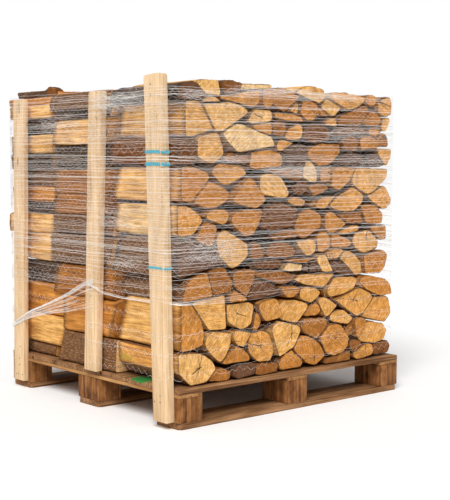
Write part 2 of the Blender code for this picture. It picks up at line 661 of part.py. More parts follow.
def build_top_split(material):
    """The loose bark-covered split on the back row: a thick near end and a thin tail."""
    stations = (
        (0.745, 0.034, 0.076, 1.0525, 1.078), (0.772, 0.032, 0.080, 1.0525, 1.087),
        (0.792, 0.031, 0.086, 1.0525, 1.087), (0.814, 0.031, 0.090, 1.0525, 1.0745),
        (0.950, 0.031, 0.088, 1.0525, 1.0765), (0.998, 0.031, 0.080, 1.0525, 1.0755),
    )
    shape = bmesh.new()
    rings = []
    for deep, left, right, low, high in stations:
        step = (right - left) / 4
        corners = (
            (left + step / 2, low), (right - step / 2, low), (right, low + (high - low) * 0.45),
            (right - step, high - 0.002), (left + step / 2, high), (left, low + (high - low) * 0.8),
        )
        rings.append([shape.verts.new(place(x, deep, z)) for x, z in corners])
    for ring, following in zip(rings, rings[1:]):
        edges = []
        for loop in (ring, following):
            for a, b in zip(loop, loop[1:] + loop[:1]):
                edges.append(shape.edges.get((a, b)) or shape.edges.new((a, b)))
        bmesh.ops.bridge_loops(shape, edges=edges)
    shape.faces.new(rings[0])
    shape.faces.new(rings[-1])
    add_object("loose_split_on_top", mesh_from(shape, "loose_split_on_top"), material)


def net_ring(height):
    """The wrapped net's path round posts and stack at one height, as across, deep and lift.

    Lift says how far the net's lower edge is pulled up there.
    """
    foot, foot_width, head, head_width, _, _, low, high = POSTS["post_front"]
    share = (height - low) / (high - low)
    near_edge = foot + (head - foot) * share
    far_edge = near_edge + foot_width + (head_width - foot_width) * share
    back_foot, back_width, back_head, _, back_outer, *_ = POSTS["post_back"]
    front = [(x, NET_NEAR, 0.0) for x in np.linspace(0.004, 0.988, 5)]
    right = [(NET_RIGHT, y, 0.0) for y in np.linspace(0.006, NET_FAR - 0.003, 4)]
    back = [(x, NET_FAR, 0.0) for x in np.linspace(0.987, 0.012, 4)]
    side = [
        (back_outer - 0.0015, back_foot + back_width + 0.004, NET_LIFTED_BACK - NET_LOW),
        (back_outer - 0.0015, back_head - 0.004, NET_LIFTED_BACK + 0.02 - NET_LOW),
        (-0.0290, 0.455, NET_LIFTED_MIDDLE - NET_LOW),
        (NET_LEFT, far_edge + 0.003, 0.0),
        (NET_LEFT, near_edge - 0.003, 0.0),
    ]
    return front + right + back + side


def build_net(material):
    """An open sleeve of crossing bands, each cell of it a hole."""
    count = len(net_ring(NET_LOW))
    shape = bmesh.new()
    bmesh.ops.create_grid(shape, x_segments=count, y_segments=NET_LEVELS, size=0.5)
    for vert in shape.verts:
        step = round((vert.co.x + 0.5) * count)
        level = round((vert.co.y + 0.5) * NET_LEVELS)
        lift = net_ring(NET_LOW)[step % count][2]
        low = NET_LOW + lift
        high = low + (NET_HIGH - low) * level / NET_LEVELS
        across, deep, _ = net_ring(high)[step % count]
        vert.co = place(across, deep, high)
    bmesh.ops.remove_doubles(shape, verts=shape.verts[:], dist=0.0001)
    bmesh.ops.recalc_face_normals(shape, faces=shape.faces[:])
    cells = shape.faces[:]
    bmesh.ops.inset_individual(shape, faces=cells, thickness=NET_THREAD / 2, use_even_offset=True)
    bmesh.ops.delete(shape, geom=cells, context="FACES")
    centre = place(0.5, 0.5, 0.6)
    outward = sum((f.calc_center_median() - centre).dot(f.normal) for f in shape.faces)
    if outward < 0:
        bmesh.ops.reverse_faces(shape, faces=shape.faces[:])
    mesh = bpy.data.meshes.new("net")
    shape.to_mesh(mesh)
    shape.free()
    item = add_object("net", mesh, material)
    wall = item.modifiers.new("thickness", "SOLIDIFY")
    wall.thickness = NET_THICKNESS
    wall.offset = 1.0
    wall.use_even_offset = True


def main():
    """Build every piece."""
    clear_scene()
    materials = {name: make_material(name) for name in COLOURS}
    build_pallet(materials["pallet_wood"])
    build_posts(materials["post_wood"])
    for row in ROWS:
        build_row(row, materials["split_wood"])
    build_top_split(materials["bark_slab"])
    build_net(materials["net_thread"])


main()
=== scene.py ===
"""Looks of the pallet of firewood: split logs, sawn posts, pallet timber, fixings and the net.

Sizes are in metres. Places are counted as in the part's source, from the pallet's near corner:
across along X, deep along Y and high along Z.
"""

import logging
import math
import random
from dataclasses import dataclass, field
from enum import Enum
from typing import Any, Callable, Iterable

import bmesh
import bpy
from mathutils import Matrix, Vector, noise


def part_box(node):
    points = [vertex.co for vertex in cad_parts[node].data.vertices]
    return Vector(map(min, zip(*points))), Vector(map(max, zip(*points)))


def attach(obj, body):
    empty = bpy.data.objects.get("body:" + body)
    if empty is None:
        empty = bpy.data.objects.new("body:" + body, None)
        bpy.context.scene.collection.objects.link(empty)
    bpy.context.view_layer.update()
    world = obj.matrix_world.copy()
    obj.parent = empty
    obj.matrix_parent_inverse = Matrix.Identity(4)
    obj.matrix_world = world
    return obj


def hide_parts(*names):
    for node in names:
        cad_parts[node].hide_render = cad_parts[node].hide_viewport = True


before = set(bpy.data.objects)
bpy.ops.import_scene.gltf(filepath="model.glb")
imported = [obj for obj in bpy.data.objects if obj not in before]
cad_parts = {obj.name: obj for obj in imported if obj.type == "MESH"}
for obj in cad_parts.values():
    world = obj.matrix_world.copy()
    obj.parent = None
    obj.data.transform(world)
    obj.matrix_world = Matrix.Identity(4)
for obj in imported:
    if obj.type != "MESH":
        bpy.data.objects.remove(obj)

LOG = logging.getLogger("firewood")

CENTRE = (0.48215, 0.5206)
DECK_TOP = 0.126
MM = 0.001
GLOSS = 0.2
NOISE_ROUGHNESS = 0.6

Socket = bpy.types.NodeSocket
Pair = tuple[float, float]
Triple = tuple[float, float, float]
Outline = Iterable[Pair]


class Axis(Enum):
    """A direction that wood grain runs along."""

    X = 0
    Y = 1
    Z = 2


class Tone(Enum):
    """How weathered or how freshly cut a face looks, from grey-brown to pale yellow."""

    GREY = 0.04
    DARK = 0.18
    BROWN = 0.34
    ORANGE = 0.52
    TAN = 0.66
    BRIGHT = 0.80
    PALE = 0.95


class Skin(Enum):
    """What covers a log's side, by material slot."""

    END = 0
    SPLIT = 1
    BARK = 2


def place(across: float, deep: float, high: float) -> Vector:
    """A point counted from the pallet's near corner, in the part's frame."""
    return Vector((across - CENTRE[0], deep - CENTRE[1], high))


def linear(code: str) -> tuple[float, float, float, float]:
    """Turn an sRGB hex value into a linear colour.

    Args:
        code: Six hex digits after a hash.

    Returns:
        Red, green, blue and an alpha of one.
    """
    channels = [int(code[i:i + 2], 16) / 255 for i in (1, 3, 5)]
    red, green, blue = (
        c / 12.92 if c <= 0.04045 else ((c + 0.055) / 1.055) ** 2.4 for c in channels
    )
    return red, green, blue, 1.0


def add_node(
    tree: bpy.types.NodeTree,
    kind: str,
    inputs: dict[str | int, Any] | None = None,
    **settings: Any,
) -> bpy.types.Node:
    """Add a node with its settings and what its sockets hold.

    Args:
        tree: The material's or the world's node tree.
        kind: Blender's name for the node type.
        inputs: Socket name or number to the output that feeds it, or to its fixed value.
        settings: Properties of the node itself.

    Returns:
        The new node.
    """
    node = tree.nodes.new(kind)
    for name, value in settings.items():
        setattr(node, name, value)
    for key, value in (inputs or {}).items():
        if isinstance(value, Socket):
            tree.links.new(value, node.inputs[key])
        else:
            node.inputs[key].default_value = value
    return node


class Surface:
    """A material in the making: its node tree and its Principled shader."""

    def __init__(self, name: str, roughness: float, metallic: float = 0.0) -> None:
        """Begin a material.

        Args:
            name: The real material, and how its surface was made.
            roughness: The shader's own roughness.
            metallic: The shader's own metallic value.
        """
        self.material = bpy.data.materials.new(name)
        self.material.use_nodes = True
        self.tree = self.material.node_tree
        self.shader = self.tree.nodes["Principled BSDF"]
        self.shader.inputs["Roughness"].default_value = roughness
        self.shader.inputs["Metallic"].default_value = metallic
        self.shader.inputs["Specular IOR Level"].default_value = GLOSS

    def add(self, kind: str, inputs: dict[str | int, Any], **settings: Any) -> bpy.types.Node:
        """Add a node to this material."""
        return add_node(self.tree, kind, inputs, **settings)

    def reckon(self, operation: str, *terms: Socket | float) -> Socket:
        """What comes of an operation on numbers."""
        node = self.add("ShaderNodeMath", dict(enumerate(terms)), operation=operation)
        return node.outputs["Value"]

    def vector(self, operation: str, *terms: Socket | Triple) -> Socket:
        """What comes of an operation on vectors."""
        node = self.add("ShaderNodeVectorMath", dict(enumerate(terms)), operation=operation)
        return node.outputs["Value" if operation == "LENGTH" else "Vector"]

    def mapped(self, value: Socket, limits: Pair, low: float, high: float) -> Socket:
        """Map the range of a value to another range and hold it there.

        Args:
            value: The value.
            limits: Its first and last limit.
            low: Result at the first limit.
            high: Result at the last one.

        Returns:
            The result.
        """
        inputs = {
            "Value": value, "From Min": limits[0], "From Max": limits[1],
            "To Min": low, "To Max": high,
        }
        return self.add("ShaderNodeMapRange", inputs).outputs["Result"]

    def attribute(self, name: str) -> Socket:
        """A number kept with the mesh's points."""
        return self.add("ShaderNodeAttribute", {}, attribute_name=name).outputs["Fac"]

    def noise(self, vector: Socket, detail: float, scale: float = 1.0) -> Socket:
        """Noise over a vector that is already in pattern sizes."""
        inputs = {"Vector": vector, "Scale": scale, "Detail": detail,
                  "Roughness": NOISE_ROUGHNESS}
        return self.add("ShaderNodeTexNoise", inputs).outputs["Fac"]

    def stretched(self, sizes: Triple) -> Socket:
        """Divide object coordinates by a pattern's real size.

        Args:
            sizes: Its size along each axis, in metres.

        Returns:
            The divided coordinates.
        """
        spot = self.add("ShaderNodeTexCoord", {}).outputs["Object"]
        inputs = {"Vector": spot, "Scale": tuple(1 / size for size in sizes)}
        return self.add("ShaderNodeMapping", inputs).outputs["Vector"]

    def pattern(self, sizes: Triple, detail: float) -> Socket:
        """Noise whose spots have a real size along each axis, in metres."""
        return self.noise(self.stretched(sizes), detail)

    def cells(self, sizes: Triple, feature: str = "F1") -> Socket:
        """Distance inside cells that have a real size along each axis, in metres."""
        inputs = {"Vector": self.stretched(sizes), "Scale": 1.0, "Randomness": 1.0}
        return self.add("ShaderNodeTexVoronoi", inputs, feature=feature).outputs["Distance"]

    def ramp(self, source: Socket, stops: Iterable[tuple[float, str]]) -> Socket:
        """Colour ramp over hex colours.

        Args:
            source: The value that runs along the ramp.
            stops: Place and hex colour of each stop.

        Returns:
            The ramp's colour output.
        """
        node = self.add("ShaderNodeValToRGB", {"Fac": source})
        stops = list(stops)
        elements = node.color_ramp.elements
        while len(elements) < len(stops):
            elements.new(0.5)
        for element, (spot, code) in zip(elements, stops):
            element.position = spot
            element.color = linear(code)
        return node.outputs["Color"]

    def shade(
        self, colour: Socket, factor: Socket, low: float, high: float,
        limits: Pair = (0.25, 0.75), warmth: float = 0.0,
    ) -> Socket:
        """Multiply a colour by a pattern mapped to a range of brightness.

        Args:
            colour: The colour to shade.
            factor: The pattern.
            low: Brightness at the pattern's lower limit.
            high: Brightness at its upper limit.
            limits: The pattern's lower and upper limit.
            warmth: How much more green and blue lose than red where it darkens.

        Returns:
            The shaded colour.
        """
        bright = self.mapped(factor, limits, low, high)
        if warmth:
            green = self.reckon("POWER", bright, 1 + warmth * 0.45)
            blue = self.reckon("POWER", bright, 1 + warmth)
            tinted = self.add("ShaderNodeCombineXYZ", {0: bright, 1: green, 2: blue})
            bright = tinted.outputs["Vector"]
        return self.vector("MULTIPLY", colour, bright)

    def blend(self, colour: Socket, code: str, factor: Socket, share: float = 1.0) -> Socket:
        """Mix a colour towards a hex colour.

        Args:
            colour: The colour so far.
            code: The hex colour.
            factor: Mask of where it shows.
            share: How much of it shows where the mask is one.

        Returns:
            The mixed colour.
        """
        if share < 1.0:
            factor = self.reckon("MULTIPLY", factor, share)
        inputs = {"Factor": factor, 6: colour, 7: linear(code)}
        return self.add("ShaderNodeMix", inputs, data_type="RGBA").outputs[2]

    def stain(self, centre: Vector, reach: Triple) -> Socket:
        """Ragged mask of one where a stain lies and zero elsewhere.

        Args:
            centre: The stain's middle in the part's frame.
            reach: Half its size along each axis.

        Returns:
            The mask.
        """
        spot = self.add("ShaderNodeTexCoord", {}).outputs["Object"]
        moved = self.vector("SUBTRACT", spot, tuple(centre))
        scaled = self.vector("MULTIPLY", moved, tuple(1 / size for size in reach))
        tear_size, tear_depth, edge = 8 * MM, 2.2, (2.1, 1.9)
        ragged = self.pattern((tear_size,) * 3, 3)
        total = self.reckon("MULTIPLY_ADD", ragged, tear_depth, self.vector("LENGTH", scaled))
        return self.mapped(total, edge, 0.0, 1.0)

    def done(
        self, colour: Socket, height: Socket | None = None, strength: float = 0.0,
        depth: float = 0.0,
    ) -> bpy.types.Material:
        """Give the shader its colour and its bump.

        Args:
            colour: The mixed colour.
            height: What the bump follows, if there is one.
            strength: The bump's strength.
            depth: Its real depth.

        Returns:
            The finished material.
        """
        self.tree.links.new(colour, self.shader.inputs["Base Color"])
        if height is not None:
            inputs = {"Height": height, "Strength": strength, "Distance": depth}
            bump = self.add("ShaderNodeBump", inputs)
            self.tree.links.new(bump.outputs["Normal"], self.shader.inputs["Normal"])
        return self.material


WOOD_TONES = (
    (0.00, "#664937"), (0.18, "#7C4C25"), (0.34, "#A3682D"), (0.52, "#C5833B"),
    (0.66, "#D6974B"), (0.80, "#E3AC62"), (1.00, "#EEC88F"),
)


@dataclass(frozen=True)
class SawnEndGrain:
    """Beech and oak cut across by a saw.

    The eye gets blotched tan and orange ends with slanting saw marks, faint rings and rays
    round the heart, a few thin drying cracks, and a dark brown rim at the edge: partly a dull
    edge, partly painted shade of the gaps between logs.

    Attributes:
        ring_pitch: Distance from ring to ring.
        ring_bend: How far blotches push the rings out of round.
        heart_size: Where the dark heart ends and where it is full.
        blotch: Size of damp and faded spots.
        fleck: Size of small spots.
        crack_width: Width of a drying crack.
        crack_count: How closely the cracks follow each other round the heart.
        crack_reach: How far from the heart the longest crack runs.
        streak: Width and length of a saw mark.
    """

    ring_pitch: float = 3.6 * MM  # real rings are finer, drawn coarse enough to show
    ring_bend: float = 10 * MM
    heart_size: Pair = (10 * MM, 3 * MM)
    blotch: float = 17 * MM
    fleck: float = 6 * MM
    crack_width: float = 0.42 * MM
    crack_count: float = 1.05
    crack_reach: float = 85 * MM
    streak: Pair = (3.2 * MM, 34 * MM)  # saw marks, drawn coarse as well

    def polar(self, surface: Surface, pith: Socket, own: Socket) -> tuple[Socket, Socket]:
        """Count round the tree's heart.

        Args:
            surface: The material in the making.
            pith: Way from the heart, across and high.
            own: The log's own number.

        Returns:
            Distance from the heart, and a seamless direction vector that differs per log.
        """
        offset = surface.reckon("MULTIPLY", own, 37.0)
        shift = surface.add("ShaderNodeCombineXYZ", {2: offset}).outputs["Vector"]
        outward = surface.vector("NORMALIZE", pith)
        return surface.vector("LENGTH", pith), surface.vector("ADD", outward, shift)

    def cracks(self, surface: Surface, radius: Socket, direction: Socket) -> Socket:
        """Thin radial drying cracks of even width, each with its own reach.

        Args:
            surface: The material in the making.
            radius: Distance from the heart.
            direction: Direction vector round it.

        Returns:
            Mask of the cracks.
        """
        spokes = surface.noise(direction, 0, self.crack_count)
        apart = surface.reckon("ABSOLUTE", surface.reckon("SUBTRACT", spokes, 0.5))
        aside = surface.reckon("MULTIPLY", apart, radius)
        line = surface.mapped(aside, (self.crack_width, self.crack_width * 0.3), 0.0, 1.0)
        reach = surface.noise(direction, 0, 0.8)
        limit = surface.mapped(reach, (0.35, 0.7), 0.0, self.crack_reach)
        return surface.reckon("MULTIPLY", line, surface.reckon("GREATER_THAN", limit, radius))

    def streaks(self, surface: Surface, pith: Socket, own: Socket) -> Socket:
        """Marks left by the saw and the fibres, lying another way on each log.

        Args:
            surface: The material in the making.
            pith: Way from the heart, across and high.
            own: The log's own number.

        Returns:
            The marks' pattern.
        """
        inputs = {"Vector": pith, "Angle": surface.reckon("MULTIPLY", own, 40.0)}
        turned = surface.add("ShaderNodeVectorRotate", inputs, rotation_type="Z_AXIS")
        scales = (1 / self.streak[0], 1 / self.streak[1], 1.0)
        return surface.noise(surface.vector("MULTIPLY", turned.outputs["Vector"], scales), 3)

    def build(self) -> bpy.types.Material:
        """Make the material.

        Returns:
            The material.
        """
        surface = Surface("beech_end_grain_sawn", 0.78)
        pith = surface.add("ShaderNodeUVMap", {}, uv_map="pith").outputs["UV"]
        own = surface.attribute("own")
        radius, direction = self.polar(surface, pith, own)
        blotches = surface.pattern((self.blotch,) * 3, 5)
        bent = surface.reckon("MULTIPLY_ADD", blotches, self.ring_bend, radius)
        turns = surface.reckon("MULTIPLY", bent, math.tau / self.ring_pitch)
        rings = surface.reckon("SINE", turns)
        rays = surface.noise(direction, 4, 5.0)
        wedges = surface.noise(direction, 1, 0.9)
        crack = self.cracks(surface, radius, direction)
        heart = surface.mapped(bent, self.heart_size, 0.0, 0.8)
        marks = self.streaks(surface, pith, own)
        flecks = surface.pattern((self.fleck,) * 3, 3)
        colour = surface.ramp(surface.attribute("tone"), WOOD_TONES)
        colour = surface.shade(colour, rings, 0.94, 1.05, (-1.0, 1.0))
        colour = surface.shade(colour, rays, 0.84, 1.13)
        colour = surface.shade(colour, wedges, 0.88, 1.10, (0.3, 0.7))
        colour = surface.shade(colour, blotches, 0.70, 1.27, warmth=0.7)
        colour = surface.shade(colour, marks, 0.62, 1.33, (0.28, 0.72), 0.6)
        colour = surface.shade(colour, flecks, 0.86, 1.14, (0.28, 0.72), 0.6)
        colour = surface.blend(colour, "#54331B", heart)
        colour = surface.blend(colour, "#2E1B0E", crack)
        # Darker towards the end's edge: partly a dull rim, partly painted shade of the gaps between
        # logs
        colour = surface.blend(colour, "#3C2311", surface.attribute("rim"), 0.8)
        height = surface.reckon("MULTIPLY_ADD", crack, -0.8, marks)
        return surface.done(colour, height, 0.4, 1.2 * MM)


@dataclass(frozen=True)
class SplitWood:
    """Beech and oak torn along the fibres by a wedge.

    The eye gets long ridges that catch the light and darker streaks between them, with a
    yellow-green mossy patch on one log.

    Attributes:
        fibre: Width of a torn fibre.
        streak: Width of a darker streak.
        run: Length of a streak.
        patch: Size of a lighter or darker patch.
    """

    fibre: float = 3.4 * MM  # real fibres are finer, drawn coarse enough to show
    streak: float = 11 * MM
    run: float = 150 * MM
    patch: Triple = (40 * MM, 80 * MM, 40 * MM)

    def build(self) -> bpy.types.Material:
        """Make the material.

        Returns:
            The material.
        """
        surface = Surface("beech_split_along_the_grain", 0.82)
        fibres = surface.pattern((self.fibre, self.run * 0.5, self.fibre), 3)
        streaks = surface.pattern((self.streak, self.run, self.streak), 4)
        patches = surface.pattern(self.patch, 4)
        colour = surface.ramp(surface.attribute("tone"), WOOD_TONES)
        colour = surface.shade(colour, streaks, 0.52, 1.42, warmth=0.6)
        colour = surface.shade(colour, fibres, 0.66, 1.30, warmth=0.6)
        colour = surface.shade(colour, patches, 0.76, 1.20, warmth=0.6)
        moss = surface.stain(place(0.020, 0.295, 0.190), (0.06, 0.05, 0.013))
        colour = surface.blend(colour, "#9A8A34", moss, 0.6)
        # Darker next to the sawn ends: painted shade of the gaps between logs, partly a dull edge
        colour = surface.blend(colour, "#3C2412", surface.attribute("rim"), 0.65)
        return surface.done(colour, surface.reckon("ADD", fibres, streaks), 0.8, 2.0 * MM)


@dataclass(frozen=True)
class Bark:
    """Dry bark of beech and oak, as it grew.

    The eye gets grey-brown plates with dark furrows along the log, warmer where the log's
    tone is warmer.

    Attributes:
        plate: Size of a plate.
        grain: Width of its roughness.
        patch: Size of a lighter or darker patch.
    """

    plate: Triple = (9 * MM, 30 * MM, 9 * MM)
    grain: float = 4 * MM
    patch: Triple = (35 * MM, 100 * MM, 35 * MM)

    def build(self) -> bpy.types.Material:
        """Make the material.

        Returns:
            The material.
        """
        surface = Surface("hardwood_bark_dry", 0.92)
        plates = surface.cells(self.plate, "DISTANCE_TO_EDGE")
        rough = surface.pattern((self.grain, self.grain * 2.5, self.grain), 4)
        colour = surface.ramp(
            surface.pattern(self.patch, 3),
            ((0.30, "#30241C"), (0.45, "#503E32"), (0.58, "#675445"), (0.72, "#877464")),
        )
        warmth = surface.mapped(surface.attribute("tone"), (0.16, 0.36), 0.0, 0.75)
        colour = surface.blend(colour, "#96673F", warmth)
        colour = surface.shade(colour, plates, 0.50, 1.10, (0.0, 0.22))
        colour = surface.shade(colour, rough, 0.62, 1.30)
        return surface.done(colour, surface.reckon("ADD", rough, plates), 0.8, 2.5 * MM)


@dataclass(frozen=True)
class SawnTimber:
    """Softwood cut by a saw.

    The eye gets long growth lines and small dark knots, with blotches of grime where the wood
    has stood outdoors, and on the boards a dab of green paint.

    Attributes:
        name: The material's name.
        grain: Direction of the wood's length.
        light: Hex colour of early wood.
        middle: Hex colour between light and dark.
        dark: Hex colour of late wood.
        knot: Hex colour of knots.
        line: Width of a growth line.
        patch: Width and length of a patch of grime.
        grime: How strong the grime is.
        painted: Whether the paint shows.
        line_run: Length of a growth line.
        fibre: Width and length of a saw mark.
        knot_cell: Width and length of the wood round one knot.
    """

    name: str
    grain: Axis
    light: str
    middle: str
    dark: str
    knot: str
    line: float = 7 * MM  # real growth lines are finer, drawn coarse enough to show
    patch: Pair = (45 * MM, 180 * MM)
    grime: float = 0.0
    painted: bool = False
    line_run: float = 450 * MM
    fibre: Pair = (1.6 * MM, 100 * MM)
    knot_cell: Pair = (85 * MM, 190 * MM)

    def sizes(self, across: float, lengthwise: float) -> Triple:
        """A pattern's size along each axis, long along the grain."""
        return tuple(lengthwise if axis is self.grain else across for axis in Axis)

    def build(self) -> bpy.types.Material:
        """Make the material.

        Returns:
            The material.
        """
        surface = Surface(self.name, 0.75)
        fine = surface.pattern(self.sizes(*self.fibre), 3)
        patches = surface.pattern(self.sizes(*self.patch), 4)
        knots = surface.mapped(surface.cells(self.sizes(*self.knot_cell)), (0.10, 0.04), 0.0, 0.85)
        colour = surface.ramp(
            surface.pattern(self.sizes(self.line, self.line_run), 2),
            ((0.28, self.dark), (0.42, self.middle), (0.55, self.light), (0.70, self.middle)),
        )
        colour = surface.shade(colour, fine, 0.84, 1.12)
        dim, bright = 0.82 - self.grime * 0.45, 1.14 + self.grime * 0.10
        colour = surface.shade(colour, patches, dim, bright, (0.3, 0.7), 0.4)
        colour = surface.blend(colour, self.knot, knots)
        if self.painted:
            paint = surface.stain(place(0.020, 0.215, DECK_TOP), (0.050, 0.050, 0.008))
            colour = surface.blend(colour, "#2F7F3A", paint)
        return surface.done(colour, fine, 0.4 + self.grime * 0.3, 1.0 * MM)


@dataclass(frozen=True)
class KnittedThread:
    """Drawn polyethylene thread of a knitted pallet net.

    The eye gets a slightly shiny white or turquoise line, a little duller here and there.

    Attributes:
        name: The material's name.
        code: Hex colour.
        roughness: The shader's own roughness.
    """

    name: str
    code: str
    roughness: float = 0.42

    def build(self) -> bpy.types.Material:
        """Make the material.

        Returns:
            The material.
        """
        surface = Surface(self.name, self.roughness)
        worn = surface.pattern((20 * MM, 20 * MM, 10 * MM), 2)
        colour = surface.ramp(worn, ((0.0, self.code), (1.0, self.code)))
        return surface.done(surface.shade(colour, worn, 0.88, 1.05, (0.3, 0.7)))


@dataclass(frozen=True)
class NailSteel:
    """Drawn steel wire, dulled by weather: small dark heads and crowns in the pale posts."""

    def build(self) -> bpy.types.Material:
        """Make the material.

        Returns:
            The material.
        """
        surface = Surface("steel_wire_dulled", 0.45, 0.9)
        rust = surface.pattern((3 * MM,) * 3, 2)
        return surface.done(surface.ramp(rust, ((0.3, "#3B3632"), (0.7, "#7A7470"))))


@dataclass(frozen=True)
class StudioPaper:
    """Matt white floor of uncoated paper: it shows the load's soft shadow and little else."""

    def build(self) -> bpy.types.Material:
        """Make the material.

        Returns:
            The material.
        """
        surface = Surface("studio_floor_matt_white", 0.9)
        soft = surface.pattern((0.6,) * 3, 1)
        return surface.done(surface.ramp(soft, ((0.0, "#FDFDFD"), (1.0, "#FEFEFE"))))


def hang_piece(
    mesh: bpy.types.Mesh,
    materials: Iterable[bpy.types.Material],
    replaced: Iterable[str] = (),
    slot: str = "",
) -> bpy.types.Object:
    """Turn a mesh into a finished piece that rides on the part.

    Args:
        mesh: The mesh, with the piece's name.
        materials: Its materials in slot order.
        replaced: CAD nodes that it stands for.
        slot: The record's material slot; not used.

    Returns:
        The new object.
    """
    for material in materials:
        mesh.materials.append(material)
    piece = bpy.data.objects.new(mesh.name, mesh)
    bpy.context.collection.objects.link(piece)
    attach(piece, "root")
    for node in replaced:
        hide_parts(node)
    return piece


def finish_piece(
    shape: bmesh.types.BMesh,
    name: str,
    materials: Iterable[bpy.types.Material],
    replaced: Iterable[str] = (),
    slot: str = "",
    keep_normals: bool = False,
) -> bpy.types.Object:
    """Turn a bmesh into a finished piece that rides on the part.

    Args:
        shape: The bmesh, freed here.
        name: The piece's name.
        materials: Its materials in slot order.
        replaced: CAD nodes that it stands for.
        slot: The record's material slot.
        keep_normals: Leave the faces turned as they are.

    Returns:
        The new object.
    """
    if not keep_normals:
        bmesh.ops.recalc_face_normals(shape, faces=shape.faces[:])
    mesh = bpy.data.meshes.new(name)
    shape.to_mesh(mesh)
    shape.free()
    return hang_piece(mesh, materials, replaced, slot)


def pour_into(whole: bmesh.types.BMesh, shape: bmesh.types.BMesh) -> None:
    """Add one bmesh to another.

    Args:
        whole: Takes it.
        shape: What is added, freed here.
    """
    mesh = bpy.data.meshes.new("poured")
    shape.to_mesh(mesh)
    shape.free()
    whole.from_mesh(mesh)
    bpy.data.meshes.remove(mesh)


def mid_height(outline: Outline) -> float:
    """Height halfway up a log's end."""
    heights = [high for _, high in outline]
    return (min(heights) + max(heights)) / 2


# Waves in the torn fibres and in the bark's plates: how many come in a metre across and along
# the log, and how far each moves a point
SPLIT_WAVES = ((34, 6, 5.0 * MM), (190, 9, 2.6 * MM))
BARK_WAVES = ((34, 6, 4.5 * MM), (120, 45, 2.6 * MM))


